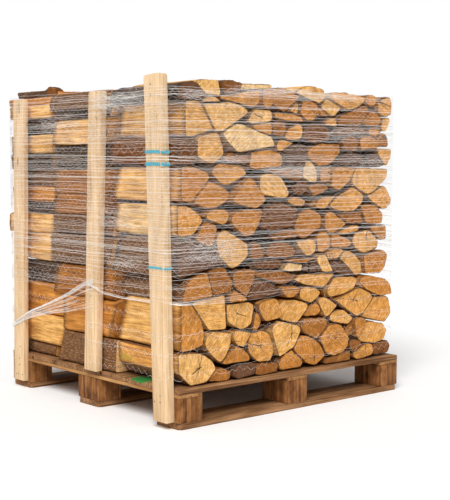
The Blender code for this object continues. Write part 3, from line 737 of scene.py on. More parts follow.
@dataclass(frozen=True)
class Log:
    """One split log, lying along Y.

    Attributes:
        outline: Corners of its end, across and high in the part's frame.
        near: Y of its near end.
        far: Y of its far end.
        tone: Tone of its sawn ends.
        side_tone: Tone of its split sides.
        bark: Direction that its bark faces, as an angle round Y.
        spread: Half the angle that the bark covers.
        own: A number from 0 to 1 that starts its own roughness and pattern.
        heart: Where the tree's heart shows, if it does.
        skew: How far out of square its near and far end are sawn, as a slope.
        drop: How far its far end lies above or below the near one.
        swing: How far its far end lies to the right of the near one.
        slack: How far it is drawn in from its neighbours.
        lean: How far its near and far end run deeper for each metre higher.
        spacing: Distance from point to point round its end.
        stations: Rings of points between its ends.
        corner_rounding: How often its corners are smoothed.
        rim_width: Width of the rim round a sawn end, darkened as a dull edge and as painted
        shade of the gaps between logs.
        deepest: How far its side may be roughened inwards.
        drawn_in: How far a side lies below its waves' middle.
        fray: How far the edge round an end is worn back, and how unevenly.
        own_shift: How far apart the patterns of different logs are taken.
    """

    outline: tuple[Pair, ...]
    near: float
    far: float
    tone: float
    side_tone: float
    bark: float
    spread: float
    own: float
    heart: Pair | None = None
    skew: Pair = (0.0, 0.0)
    drop: float = 0.0
    swing: float = 0.0
    slack: float = 1.5 * MM
    lean: Pair = (0.0, 0.0)

    spacing: float = 0.0075
    stations: int = 11
    corner_rounding: int = 2
    rim_width: float = 2.4 * MM
    deepest: float = 3.4 * MM
    drawn_in: float = 0.8 * MM
    fray: Pair = (1.3 * MM, 1.2 * MM)
    own_shift: float = 60.0

    def centre(self) -> Pair:
        """Middle of its end."""
        xs = [x for x, _ in self.outline]
        return (min(xs) + max(xs)) / 2, mid_height(self.outline)

    def shrunk(self) -> list[Pair]:
        """Its outline drawn in a little, so that a dark slit parts it from its neighbours.

        Returns:
            Corners of the smaller outline.
        """
        middle = self.centre()
        sizes = [
            max(p[axis] for p in self.outline) - min(p[axis] for p in self.outline)
            for axis in (0, 1)
        ]
        scales = [1 - 2 * self.slack / size for size in sizes]
        return [
            (middle[0] + (x - middle[0]) * scales[0], middle[1] + (z - middle[1]) * scales[1])
            for x, z in self.outline
        ]

    def pith(self) -> Pair:
        """Where the tree's heart lay: away from the bark.

        Returns:
            Across and high in the part's frame.
        """
        if self.heart:
            return self.heart
        middle = self.centre()
        reach = max(math.dist(middle, p) for p in self.outline)
        pull = 0.25 if self.spread > 1.6 else 0.85
        return (
            middle[0] - math.cos(self.bark) * reach * pull,
            middle[1] - math.sin(self.bark) * reach * pull,
        )

    def roughen(self, point: Vector, outward: Vector, barky: bool) -> Vector:
        """Move a side point in or out by the torn fibres or the bark's plates.

        Args:
            point: The point at rest.
            outward: Direction away from the log's middle.
            barky: Whether bark covers it.

        Returns:
            The moved point.
        """
        seeded = Vector((self.own * self.own_shift, 0.0, self.own * self.own_shift))
        push = -self.drawn_in
        for across, run, reach in BARK_WAVES if barky else SPLIT_WAVES:
            spot = Vector((point.x * across, point.y * run, point.z * across))
            push += noise.noise(spot + seeded) * reach
        return point + outward * max(-self.deepest, min(self.slack, push))

    def rest(self, point: Vector) -> Vector:
        """Give a straight log's point the log's slope and its ends' skew.

        Args:
            point: A point of the straight log.

        Returns:
            Where it lies on the real one.
        """
        share = (point.y - self.near) / (self.far - self.near)
        middle = self.centre()
        slope = self.skew[0] * (1 - share) - self.skew[1] * share
        shift = slope * ((point.x - middle[0]) + (point.z - middle[1]))
        inward = abs(shift) if share < 0.5 else -abs(shift)
        lean = self.lean[0] * (1 - share) + self.lean[1] * share
        deeper = inward + lean * (point.z - middle[1])
        return point + Vector((self.swing * share, deeper, self.drop * share))

    def add_to(self, whole: bmesh.types.BMesh) -> None:
        """Model the log and add it to a course's bmesh.

        Args:
            whole: The course's bmesh.
        """
        shape = bmesh.new()
        tone_layer, dull_rim_and_shade_layer, own_layer = (
            shape.verts.layers.float.new(name) for name in ("tone", "rim", "own")
        )
        pith_layer = shape.loops.layers.uv.new("pith")
        start = shape.faces.new([shape.verts.new((x, self.near, z)) for x, z in self.shrunk()])
        for edge in list(start.edges):
            cuts = int(edge.calc_length() / self.spacing)
            if cuts:
                bmesh.ops.subdivide_edges(shape, edges=[edge], cuts=cuts)
        for _ in range(self.corner_rounding):
            bmesh.ops.smooth_vert(
                shape, verts=shape.verts[:], factor=0.5, use_axis_x=True, use_axis_y=False,
                use_axis_z=True,
            )
        drawn = bmesh.ops.extrude_face_region(shape, geom=[start])
        moved = [v for v in drawn["geom"] if isinstance(v, bmesh.types.BMVert)]
        bmesh.ops.translate(shape, vec=(0, self.far - self.near, 0), verts=moved)
        bmesh.ops.recalc_face_normals(shape, faces=shape.faces[:])
        lengthwise = [
            e for e in shape.edges if abs(e.verts[0].co.y - e.verts[1].co.y) > 0.1
        ]
        bmesh.ops.subdivide_edges(
            shape, edges=lengthwise, cuts=self.stations, use_grid_fill=True,
        )
        ends = [f for f in shape.faces if abs(f.normal.y) > 0.9]
        self.dress_sides(shape, ends)
        rims = bmesh.ops.inset_individual(
            shape, faces=ends, thickness=self.rim_width, use_even_offset=True,
        )["faces"]
        for face in ends + rims:
            outer = [f for e in face.edges for f in e.link_faces if f not in ends]
            barky = face in rims and any(f.material_index == Skin.BARK.value for f in outer)
            face.material_index = (Skin.BARK if barky else Skin.END).value
            face.smooth = False
        self.move_points(shape, ends)
        pith = self.pith()
        end_points = {v for f in ends for v in f.verts}
        for vert in shape.verts:
            vert[tone_layer] = self.tone if vert in end_points else self.side_tone
            vert[own_layer] = self.own
            # Points round each end's edge get the rim value, which darkens them: a dull edge and
            # painted shade of the gaps between logs
            if vert not in end_points and any(
                e.other_vert(vert) in end_points for e in vert.link_edges
            ):
                vert[dull_rim_and_shade_layer] = 1.0
                vert[tone_layer] = self.tone
        for face in shape.faces:
            for loop in face.loops:
                loop[pith_layer].uv = (loop.vert.co.x - pith[0], loop.vert.co.z - pith[1])
        for vert in shape.verts:
            vert.co = self.rest(vert.co)
        pour_into(whole, shape)

    def dress_sides(self, shape: bmesh.types.BMesh, ends: list[bmesh.types.BMFace]) -> None:
        """Choose bark or split wood for each side face by where it faces.

        Args:
            shape: The straight log.
            ends: Its sawn ends.
        """
        facing = Vector((math.cos(self.bark), 0.0, math.sin(self.bark)))
        limit = math.cos(self.spread)
        for face in shape.faces:
            if face not in ends:
                barky = face.normal.dot(facing) > limit
                face.material_index = (Skin.BARK if barky else Skin.SPLIT).value
                face.smooth = True

    def move_points(self, shape: bmesh.types.BMesh, ends: list[bmesh.types.BMFace]) -> None:
        """Roughen the sides, and fray the edge round each end.

        Args:
            shape: The straight log.
            ends: Its sawn ends.
        """
        middle = self.centre()
        end_points = {v for f in ends for v in f.verts}
        for vert in shape.verts:
            if vert in end_points:
                continue
            outward = Vector((vert.co.x - middle[0], 0.0, vert.co.z - middle[1]))
            if outward.length < 1e-6:
                continue
            outward.normalize()
            barky = any(f.material_index == Skin.BARK.value for f in vert.link_faces)
            frayed = any(e.other_vert(vert) in end_points for e in vert.link_edges)
            vert.co = self.roughen(vert.co, outward, barky)
            if frayed:
                seeded = vert.co * 160 + Vector((0, 0, self.own * self.own_shift))
                ragged = noise.noise(seeded) * self.fray[1]
                inward = 1.0 if vert.co.y < (self.near + self.far) / 2 else -1.0
                vert.co.y += inward * (self.fray[0] + ragged)


# Least area of a sawn end in square metres: smaller faces are slivers between logs
SMALLEST_END = 1.2e-4


def end_faces(node: str) -> list[tuple[list[Pair], float, float]]:
    """Read where the logs of a course lie from its solid.

    Args:
        node: The course's CAD node.

    Returns:
        For each log, the corners of its near end, and the Y of its near and far ends.
    """
    shape = bmesh.new()
    shape.from_mesh(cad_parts[node].data)
    bmesh.ops.remove_doubles(shape, verts=shape.verts[:], dist=0.02 * MM)
    bmesh.ops.dissolve_limit(
        shape, angle_limit=math.radians(0.4), verts=shape.verts[:], edges=shape.edges[:],
    )
    shape.normal_update()
    ends = [f for f in shape.faces if f.calc_area() > SMALLEST_END]
    near_faces = [f for f in ends if f.normal.y < -0.99]
    far_faces = [f for f in ends if f.normal.y > 0.99]
    logs = []
    for face in near_faces:
        middle = face.calc_center_median()
        partner = min(
            far_faces,
            key=lambda f: math.hypot(
                f.calc_center_median().x - middle.x, f.calc_center_median().z - middle.z
            ),
        )
        corners = [(v.co.x, v.co.z) for v in face.verts]
        logs.append((corners, middle.y, partner.calc_center_median().y))
    shape.free()
    return sorted(logs, key=lambda item: (round(item[0][0][1], 4), round(item[0][0][0], 4)))


# Ends of the front row whose tone shows in the photo: across and high in millimetres
END_TONES: dict[Tone, tuple[tuple[int, int], ...]] = {
    Tone.GREY: (
        (270, 155), (370, 410), (720, 455), (570, 475), (100, 525), (505, 845), (770, 835),
        (875, 825), (60, 1035),
    ),
    Tone.DARK: (
        (785, 190), (935, 158), (380, 485), (430, 650), (530, 740), (45, 860), (610, 915),
        (770, 925), (215, 1055),
    ),
    Tone.BROWN: (
        (175, 150), (370, 148), (700, 145), (590, 265), (775, 245), (180, 445), (280, 440),
        (415, 445), (330, 540), (425, 530), (450, 583), (760, 630), (490, 780), (650, 740),
        (215, 835), (765, 885), (425, 930), (780, 980), (890, 970),
    ),
    Tone.ORANGE: (
        (485, 165), (580, 185), (65, 310), (245, 200), (590, 320), (820, 245), (890, 380),
        (75, 430), (245, 395), (475, 395), (890, 470), (130, 600), (640, 555), (725, 550),
        (910, 580), (285, 630), (560, 620), (700, 610), (870, 640), (80, 770), (140, 715),
        (380, 830), (640, 850), (850, 890), (370, 1025), (470, 1025), (560, 990), (870, 1035),
    ),
    Tone.TAN: (
        (690, 205), (845, 155), (360, 225), (385, 340), (505, 325), (655, 325), (805, 335),
        (900, 220), (910, 300), (570, 378), (600, 422), (695, 505), (850, 540), (60, 640),
        (165, 650), (750, 690), (920, 695), (640, 685), (215, 785), (290, 725), (710, 775),
        (455, 880), (935, 840), (495, 920), (250, 1020), (760, 1030), (935, 1015),
    ),
    Tone.BRIGHT: (
        (80, 190), (150, 345), (170, 240), (268, 255), (260, 325), (465, 240), (730, 285),
        (730, 395), (640, 475), (785, 470), (240, 545), (560, 535), (410, 745), (860, 755),
        (125, 870), (85, 950), (200, 965), (345, 965), (665, 1005), (130, 1050), (600, 1045),
    ),
    Tone.PALE: (
        (490, 472), (580, 785), (300, 890), (330, 1058),
    ),
}

# Log hearts that show in the front row: across and high in millimetres
HEARTS = (
    (92, 181), (357, 223), (693, 217), (253, 338), (746, 281), (783, 342), (487, 254),
    (435, 204), (597, 158), (347, 964), (856, 551), (461, 932), (716, 705),
)

# Left sides of each row: low and high in millimetres, what shows, and its tone
LEFT_SIDES: dict[str, tuple[tuple[int, int, Skin, Tone], ...]] = {
    "front": (
        (120, 238, Skin.SPLIT, Tone.TAN), (238, 390, Skin.SPLIT, Tone.BRIGHT),
        (390, 480, Skin.BARK, Tone.BROWN), (480, 560, Skin.BARK, Tone.BROWN),
        (560, 597, Skin.BARK, Tone.BROWN),
        (597, 695, Skin.SPLIT, Tone.PALE), (695, 810, Skin.SPLIT, Tone.BRIGHT),
        (810, 896, Skin.SPLIT, Tone.DARK), (896, 1010, Skin.SPLIT, Tone.BRIGHT),
        (1010, 1100, Skin.BARK, Tone.GREY),
    ),
    "middle": (
        (120, 220, Skin.BARK, Tone.BROWN), (220, 390, Skin.SPLIT, Tone.ORANGE),
        (390, 454, Skin.SPLIT, Tone.BROWN), (454, 600, Skin.BARK, Tone.BROWN),
        (600, 648, Skin.BARK, Tone.BROWN), (648, 700, Skin.SPLIT, Tone.BROWN),
        (700, 795, Skin.SPLIT, Tone.BROWN), (795, 882, Skin.BARK, Tone.DARK),
        (882, 977, Skin.SPLIT, Tone.BRIGHT), (977, 1014, Skin.BARK, Tone.GREY),
        (1014, 1100, Skin.BARK, Tone.BROWN),
    ),
    "back": (
        (120, 153, Skin.BARK, Tone.BROWN), (153, 271, Skin.SPLIT, Tone.BRIGHT),
        (271, 398, Skin.SPLIT, Tone.ORANGE), (398, 462, Skin.BARK, Tone.DARK),
        (462, 581, Skin.SPLIT, Tone.BRIGHT), (581, 644, Skin.SPLIT, Tone.BRIGHT),
        (644, 670, Skin.BARK, Tone.DARK), (670, 730, Skin.SPLIT, Tone.ORANGE),
        (730, 800, Skin.BARK, Tone.BROWN), (800, 855, Skin.BARK, Tone.DARK),
        (855, 907, Skin.SPLIT, Tone.BRIGHT), (907, 985, Skin.BARK, Tone.DARK),
        (985, 1030, Skin.SPLIT, Tone.BRIGHT), (1030, 1100, Skin.SPLIT, Tone.ORANGE),
    ),
}


# Where each row begins along the left face: high and deep, read from the photo
SEAMS: dict[str, tuple[Pair, ...]] = {
    "middle": (
        (0.189, 0.344), (0.379, 0.347), (0.441, 0.340), (0.546, 0.364), (0.583, 0.335),
        (0.645, 0.369), (0.750, 0.380), (0.858, 0.390), (0.946, 0.371),
    ),
    "back": (
        (0.150, 0.745), (0.190, 0.680), (0.281, 0.668), (0.368, 0.680), (0.423, 0.736),
        (0.466, 0.745), (0.545, 0.752), (0.632, 0.727), (0.724, 0.722), (0.762, 0.707),
        (0.822, 0.727), (0.936, 0.722), (1.000, 0.738),
    ),
}


def along(path: Iterable[Pair], spot: float) -> float:
    """Second value of a path of pairs at a first value, with straight lines between them.

    Args:
        path: The pairs.
        spot: The first value.

    Returns:
        The second value there.
    """
    points = sorted(path)
    if spot <= points[0][0]:
        return points[0][1]
    for (s0, h0), (s1, h1) in zip(points, points[1:]):
        if spot <= s1:
            return h0 + (h1 - h0) * (spot - s0) / (s1 - s0)
    return points[-1][1]


def holds(outline: Iterable[Pair], x: float, z: float) -> bool:
    """Whether a flat point lies inside a closed outline.

    Args:
        outline: The outline's corners.
        x: Where the point lies across.
        z: How high it lies.

    Returns:
        True if it lies inside.
    """
    corners = list(outline)
    inside = False
    for (x0, z0), (x1, z1) in zip(corners, corners[1:] + corners[:1]):
        if (z0 > z) != (z1 > z) and x < x0 + (z - z0) / (z1 - z0) * (x1 - x0):
            inside = not inside
    return inside


@dataclass
class LogRow:
    """One row of firewood, course by course.

    Attributes:
        row: Which row, from the front.
        materials: End grain, split wood and bark.
        seed: Starts its dice.
        recess: How far near ends may stand back.
        skew: Largest slope of a sawn end.
        drop: Largest height that a log loses or gains over its length.
        left_reach: How far from the left a log still counts as the row's left one.
        half_turn: Least and most of half the angle that bark covers.
        slack: Least and most that a log is drawn in, in millimetres.
        stick_out: Heights of the left logs that show beyond the back post.
        tones: Middle and spread of the tones drawn by chance.
        stray: How far a tone from the photo follows the one drawn by chance.
        tight: Most that a log at the left face is drawn in, in millimetres.
        seam_slope: Middle and spread of the slope of ends along a seam.
        near_gap: Least and most that a near end stands back from its seam.
        far_gap: Least and most that a far end stops short of its seam.
        darker: Most that split sides are darker than the sawn ends.
        side_spread: Half the bark's angle on a log at the left face, with bark shown or not.
        heart_spread: Half the bark's angle on a log that shows its heart.
        lowest: Below this height a log only rises, to clear the deck.
        highest: Above this height a log only falls, to stay inside the load.
    """

    row: str
    materials: list[bpy.types.Material]
    seed: int
    recess: float = 0.007
    skew: Pair = (0.03, 0.11)
    drop: float = 0.004
    left_reach: float = 0.062
    half_turn: Pair = (0.5, 1.35)
    slack: Pair = (0.9, 3.0)
    stick_out: tuple[float, ...] = (0.619, 0.838, 1.030)
    tones: Pair = (0.58, 0.16)
    stray: float = 0.25
    tight: float = 1.1
    seam_slope: Pair = (-0.27, 0.45)
    near_gap: Pair = (0.002, 0.008)
    far_gap: Pair = (0.004, 0.010)
    darker: float = 0.22
    side_spread: Pair = (1.3, 0.8)
    heart_spread: float = 2.4
    lowest: float = DECK_TOP + 0.004
    highest: float = 1.03

    def nodes(self) -> list[str]:
        """Names of the row's CAD nodes."""
        return sorted(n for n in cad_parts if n.startswith(f"logs_{self.row}_course_"))

    def left_side(self, outline: list[Pair]) -> tuple[Skin, Tone] | None:
        """What the left side of a log shows, if it stands at the left of the row.

        Args:
            outline: Corners of the log's end.

        Returns:
            Skin and tone, or None away from the left face.
        """
        if min(outline)[0] + CENTRE[0] > self.left_reach:
            return None
        middle = mid_height(outline) * 1000
        for low, high, skin, tone in LEFT_SIDES[self.row]:
            if low <= middle < high:
                return skin, tone
        return None

    def end_tone(self, outline: list[Pair], dice: random.Random) -> float:
        """Tone of a log's sawn end: the photo's where it shows, else by chance.

        Args:
            outline: Corners of the log's end.
            dice: The row's dice.

        Returns:
            The tone.
        """
        drawn = min(0.98, max(0.05, dice.gauss(*self.tones)))
        if self.row == "front":
            for tone, spots in END_TONES.items():
                for across, high in spots:
                    if holds(outline, across / 1000 - CENTRE[0], high / 1000):
                        return tone.value + (drawn - self.tones[0]) * self.stray
        return drawn

    def heart(self, outline: list[Pair]) -> Pair | None:
        """The log's heart, if it is one of those that show.

        Args:
            outline: Corners of the log's end.

        Returns:
            Across and high in the part's frame, or None.
        """
        if self.row == "front":
            for across, high in HEARTS:
                spot = (across / 1000 - CENTRE[0], high / 1000)
                if holds(outline, *spot):
                    return spot
        return None

    def make_log(
        self, outline: list[Pair], near: float, far: float, dice: random.Random
    ) -> Log:
        """Choose a log's tones, bark and lie.

        Args:
            outline: Corners of its end.
            near: Y of its near end.
            far: Y of its far end.
            dice: The row's dice.

        Returns:
            The log.
        """
        tone = self.end_tone(outline, dice)
        side_tone = min(1.0, max(0.0, tone + dice.uniform(-self.darker, 0.0)))
        bark = dice.uniform(0, math.tau)
        spread = dice.uniform(*self.half_turn)
        drop = dice.uniform(-self.drop, self.drop)
        lean = (0.0, 0.0)
        shown = self.left_side(outline)
        if shown:
            skin, side = shown
            side_tone = side.value
            bark = math.pi if skin is Skin.BARK else 0.0
            spread = self.side_spread[0 if skin is Skin.BARK else 1]
            near, far = self.between_seams(outline, near, far, dice)
            lean = self.seam_lean(outline)
        bottom, top = min(p[1] for p in outline), max(p[1] for p in outline)
        if bottom < self.lowest:
            drop = abs(drop)
        elif top > self.highest:
            drop = -abs(drop)
        heart = self.heart(outline)
        most = self.tight if shown else self.slack[1]
        return Log(
            outline=tuple(outline), far=far,
            near=near + (0.0 if shown and self.row != "front" else dice.uniform(0.0, self.recess)),
            tone=tone, side_tone=side_tone, bark=bark,
            spread=self.heart_spread if heart else spread,
            own=dice.random(), heart=heart, drop=drop,
            skew=(dice.uniform(-self.skew[0], self.skew[0]),
                  dice.uniform(-self.skew[1], self.skew[1])),
            swing=self.swing(outline), slack=min(dice.uniform(*self.slack), most) * MM, lean=lean,
        )

    def seam_lean(self, outline: list[Pair]) -> Pair:
        """How the ends of a log at the left face lean: both rows at a seam lean alike.

        Args:
            outline: Corners of the log's end.

        Returns:
            How much deeper its near and far end run for each metre higher.
        """
        high = mid_height(outline)
        slope, spread = self.seam_slope
        first, second = (
            slope + spread * noise.noise(Vector((high * 13, seam, 0.5))) for seam in (1.0, 2.0)
        )
        if self.row == "front":
            return 0.0, first
        if self.row == "middle":
            return first, second
        return second, 0.0

    def between_seams(
        self, outline: list[Pair], near: float, far: float, dice: random.Random
    ) -> Pair:
        """Ends of a log at the left face, where the rows meet in a wandering line.

        Args:
            outline: Corners of its end.
            near: Y of its near end in the solid.
            far: Y of its far end there.
            dice: The row's dice.

        Returns:
            Y of both ends at the seams.
        """
        high = mid_height(outline)
        if self.row != "front":
            seam = along(SEAMS[self.row], high) - CENTRE[1]
            near = seam + dice.uniform(*self.near_gap)
        if self.row != "back":
            seam = along(SEAMS["middle" if self.row == "front" else "back"], high) - CENTRE[1]
            far = seam - dice.uniform(*self.far_gap)
        return near, far

    def swing(self, outline: list[Pair]) -> float:
        """How far a log's far end shows left of the back post, for the few that do.

        Args:
            outline: Corners of the log's end.

        Returns:
            How far it lies to the right of the near end.
        """
        if self.row != "back" or min(outline)[0] + CENTRE[0] > self.left_reach:
            return 0.0
        low, high = min(p[1] for p in outline), max(p[1] for p in outline)
        return -0.012 if any(low < spot < high for spot in self.stick_out) else 0.0

    def build(self) -> list[bpy.types.Object]:
        """Make one piece for each course.

        Returns:
            The pieces.
        """
        pieces = []
        dice = random.Random(self.seed)
        for number, node in enumerate(self.nodes(), start=1):
            whole = bmesh.new()
            logs = [self.make_log(*found, dice) for found in end_faces(node)]
            for log in logs:
                log.add_to(whole)
            name = f"firewood_{self.row}_{number:02d}"
            pieces.append(
                finish_piece(whole, name, self.materials, [node], "split_wood", keep_normals=True)
            )
            LOG.info("%s: %d logs", name, len(logs))
        return pieces


@dataclass(frozen=True)
class PostShape:
    """Where one post stands against the load's left face.

    Attributes:
        foot: Its near edge at the foot, counted deep from the pallet's corner.
        foot_width: Its width there.
        head: Its near edge at the top.
        head_width: Its width there.
        outer: How far across its outer face stands.
        low: Height of its foot.
        high: Height of its top.
        slant: How far its top falls from the near to the far edge.
    """

    foot: float
    foot_width: float
    head: float
    head_width: float
    outer: float
    low: float
    high: float
    slant: float = 0.0

    def near(self, height: float) -> float:
        """Near edge at a height, counted deep."""
        return self.foot + (self.head - self.foot) * self.share(height)

    def width(self, height: float) -> float:
        """Width at a height."""
        return self.foot_width + (self.head_width - self.foot_width) * self.share(height)

    def far(self, height: float) -> float:
        """Far edge at a height, counted deep."""
        return self.near(height) + self.width(height)

    def share(self, height: float) -> float:
        """Where a height lies between foot and top, from zero to one."""
        return (height - self.low) / (self.high - self.low)

    def lean(self, point: Vector) -> Vector:
        """Move a point of an upright post, as wide as the foot, to where it stands.

        Args:
            point: A point whose Y runs from zero at the near edge to the foot's width.

        Returns:
            The point in the part's frame.
        """
        aside = point.y / self.foot_width
        deep = self.near(point.z) + aside * self.width(point.z) - CENTRE[1]
        crown = max(0.0, self.share(point.z) - 0.9) * 10
        return Vector((point.x, deep, point.z - self.slant * aside * crown))


POST_SHAPES = {
    "front": PostShape(0.0240, 0.068, 0.0545, 0.080, -0.0330, 0.0222, 1.091, 0.005),
    "middle": PostShape(0.4200, 0.070, 0.3790, 0.071, -0.0235, 0.1263, 1.052),
    "back": PostShape(0.8910, 0.068, 0.8700, 0.069, -0.0210, 0.0260, 1.044),
}


@dataclass
class Timber:
    """A sawn board, block or post with worn edges.

    Attributes:
        node: The CAD node that it stands for.
        material: Its finish.
        grain: Direction of its length.
        slot: The record's material slot.
        taper: Where its near and far edges stand, for a post.
        arris: Width of the worn edge.
        end_chamfer: Cut corners at its ends, for the bottom boards.
        top_rounding: Rounding of its upper end, for a post.
        wear: Depth of dents and worn spots.
        dents: How many dents and how many fine ones come in a metre, and the fine ones' share.
        step: Distance from point to point along it.
        seed: Starts its own roughness.
    """

    node: str
    material: bpy.types.Material
    grain: Axis
    slot: str = "pallet_wood"
    taper: PostShape | None = None
    arris: float = 1.6 * MM
    end_chamfer: float = 0.0
    top_rounding: float = 0.0
    wear: float = 1.1 * MM
    dents: Triple = (22.0, 95.0, 0.6)
    step: float = 0.030
    seed: float = 0.0

    def build(self) -> bpy.types.Object:
        """Make the piece.

        Returns:
            The piece.
        """
        low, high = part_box(self.node)
        low, high = low.copy(), high.copy()
        if self.taper:
            low.y, high.y = 0.0, self.taper.foot_width
        shape = bmesh.new()
        bmesh.ops.create_cube(shape, size=1.0)
        bmesh.ops.scale(shape, vec=high - low, verts=shape.verts[:])
        bmesh.ops.translate(shape, vec=(low + high) / 2, verts=shape.verts[:])
        if self.end_chamfer:
            upright = [e for e in shape.edges if abs(self.direction(e).z) > 0.9]
            self.soften(shape, upright, self.end_chamfer, 1)
        if self.top_rounding:
            crown = [
                e for e in shape.edges
                if abs(self.direction(e).x) > 0.9 and e.verts[0].co.z > high.z - MM
            ]
            self.soften(shape, crown, self.top_rounding, 4)
        edges = [e for e in shape.edges if e.calc_face_angle(0.0) > math.radians(20)]
        self.soften(shape, edges, self.arris, 2)
        axis = self.grain.value
        length = (high - low)[axis]
        lengthwise = [
            e for e in shape.edges
            if abs(self.direction(e)[axis]) > 0.98 and e.calc_length() > length * 0.5
        ]
        cuts = max(2, int(length / self.step))
        bmesh.ops.subdivide_edges(shape, edges=lengthwise, cuts=cuts, use_grid_fill=True)
        shape.normal_update()
        coarse, fine, share = self.dents
        for vert in shape.verts:
            dent = max(0.0, noise.noise(Vector((self.seed, 0.0, 0.0)) + vert.co * coarse))
            dent += max(0.0, noise.noise(vert.co * fine)) * share
            vert.co -= vert.normal * dent * self.wear
        if self.taper:
            for vert in shape.verts:
                vert.co = self.taper.lean(vert.co)
        piece = finish_piece(shape, self.node + "_wood", [self.material], [self.node], self.slot)
        piece.data.shade_smooth()
        piece.data.set_sharp_from_angle(angle=math.radians(35))
        return piece

    @staticmethod
    def direction(edge: bmesh.types.BMEdge) -> Vector:
        """Unit vector along an edge."""
        return (edge.verts[1].co - edge.verts[0].co).normalized()

    @staticmethod
    def soften(
        shape: bmesh.types.BMesh, edges: list[bmesh.types.BMEdge], width: float, segments: int
    ) -> None:
        """Bevel some edges.

        Args:
            shape: The timber.
            edges: The edges.
            width: Width of the bevel.
            segments: Faces across it.
        """
        bmesh.ops.bevel(
            shape, geom=edges, offset=width, segments=segments, affect="EDGES", profile=0.5,
            material=-1,
        )


@dataclass
class Pallet:
    """Boards and blocks of the pallet.

    Attributes:
        outer_board: Finish of bottom and deck boards.
        cross_board: Finish of the stringer boards across.
        block: Finish of the blocks.
        rows: Rows of blocks from front to back.
        columns: Columns of blocks from left to right.
        deck_boards: Number of deck boards.
    """

    outer_board: bpy.types.Material
    cross_board: bpy.types.Material
    block: bpy.types.Material
    rows: tuple[str, ...] = ("front", "middle", "back")
    columns: tuple[str, ...] = ("left", "centre", "right")
    deck_boards: int = 7

    def build(self) -> list[bpy.types.Object]:
        """Make every board and block.

        Returns:
            The pieces.
        """
        timbers = []
        for index, row in enumerate(self.rows):
            name = f"bottom_board_{row}"
            timbers.append(
                Timber(name, self.outer_board, Axis.X, end_chamfer=0.010, seed=index)
            )
            for step, column in enumerate(self.columns):
                name, seed = f"block_{row}_{column}", 10 + index * 3 + step
                timbers.append(
                    Timber(name, self.block, Axis.Y, seed=seed, step=0.018, wear=1.6 * MM)
                )
        for step, column in enumerate(self.columns):
            name = f"stringer_{column}"
            timbers.append(Timber(name, self.cross_board, Axis.Y, seed=30 + step))
        for index in range(self.deck_boards):
            name = f"deck_board_{index + 1}"
            timbers.append(Timber(name, self.outer_board, Axis.X, seed=40 + index))
        return [timber.build() for timber in timbers]


@dataclass
class Posts:
    """Three sawn posts with their nails and staples.

    Attributes:
        wood: The posts' finish.
        steel: Finish of nails and staples.
        nails: Nail heads by post, deep and high.
        staples: Both ends of each staple's crown by post, deep and high.
        head_radii: Radius of a nail head at its rim and on top.
        head_height: Thickness of a nail head.
        head_proud: How far it stands out of the wood.
        crown: Thickness and width of a staple's crown.
    """

    wood: bpy.types.Material
    steel: bpy.types.Material
    nails: dict[str, tuple[Pair, ...]] = field(
        default_factory=lambda: {
            "front": ((0.0560, 0.1035), (0.0556, 0.0840), (0.0852, 0.0826)),
            "middle": (),
            "back": ((0.9126, 0.1513), (0.9181, 0.1075), (0.9194, 0.0834), (0.9440, 0.0480),
                     (0.9282, 0.0489), (0.9018, 0.0489)),
        }
    )
    staples: dict[str, tuple[tuple[Pair, Pair], ...]] = field(
        default_factory=lambda: {
            "front": (((0.0985, 1.0600), (0.0980, 1.0550)), ((0.0981, 1.0290), (0.0979, 1.0200))),
            "middle": (((0.4092, 0.9692), (0.4007, 0.9592)), ((0.4488, 0.4300), (0.4485, 0.4255)),
                       ((0.4473, 0.4110), (0.4478, 0.3990)), ((0.4478, 0.3800), (0.4478, 0.3760))),
            "back": (((0.8997, 1.0319), (0.8978, 0.9963)),),
        }
    )
    head_radii: Pair = (2.6 * MM, 2.2 * MM)
    head_height: float = 1.4 * MM
    head_proud: float = 0.3 * MM
    crown: Pair = (1.4 * MM, 1.8 * MM)

    def build(self) -> list[bpy.types.Object]:
        """Make posts, nails and staples.

        Returns:
            The pieces.
        """
        pieces = []
        for index, (row, taper) in enumerate(POST_SHAPES.items()):
            pieces.append(
                Timber(
                    f"post_{row}", self.wood, Axis.Z, "post_wood", taper, arris=1.8 * MM,
                    top_rounding=0.009, wear=0.8 * MM, seed=60 + index,
                ).build()
            )
        pieces.append(self.build_nails())
        pieces.append(self.build_staples())
        return pieces

    def build_nails(self) -> bpy.types.Object:
        """Flat round nail heads, a hair proud of the wood.

        Returns:
            The piece.
        """
        shape = bmesh.new()
        for row, spots in self.nails.items():
            for deep, high in spots:
                made = bmesh.ops.create_cone(
                    shape, cap_ends=True, cap_tris=False, segments=14,
                    radius1=self.head_radii[0], radius2=self.head_radii[1],
                    depth=self.head_height,
                )["verts"]
                for vert in made:
                    x, y, z = vert.co
                    across = POST_SHAPES[row].outer - z + self.head_proud
                    vert.co = place(across, deep + y, high + x)
        return finish_piece(shape, "post_nails", [self.steel])

    def build_staples(self) -> bpy.types.Object:
        """Staple crowns that hold the net.

        Returns:
            The piece.
        """
        shape = bmesh.new()
        for row, crowns in self.staples.items():
            for (deep, high), (end_deep, end_high) in crowns:
                made = bmesh.ops.create_cube(shape, size=1.0)["verts"]
                for vert in made:
                    share, aside = vert.co.z + 0.5, vert.co.y * self.crown[1]
                    vert.co = place(
                        POST_SHAPES[row].outer + vert.co.x * self.crown[0],
                        deep + (end_deep - deep) * share + aside,
                        high + (end_high - high) * share,
                    )
        return finish_piece(shape, "post_staples", [self.steel])


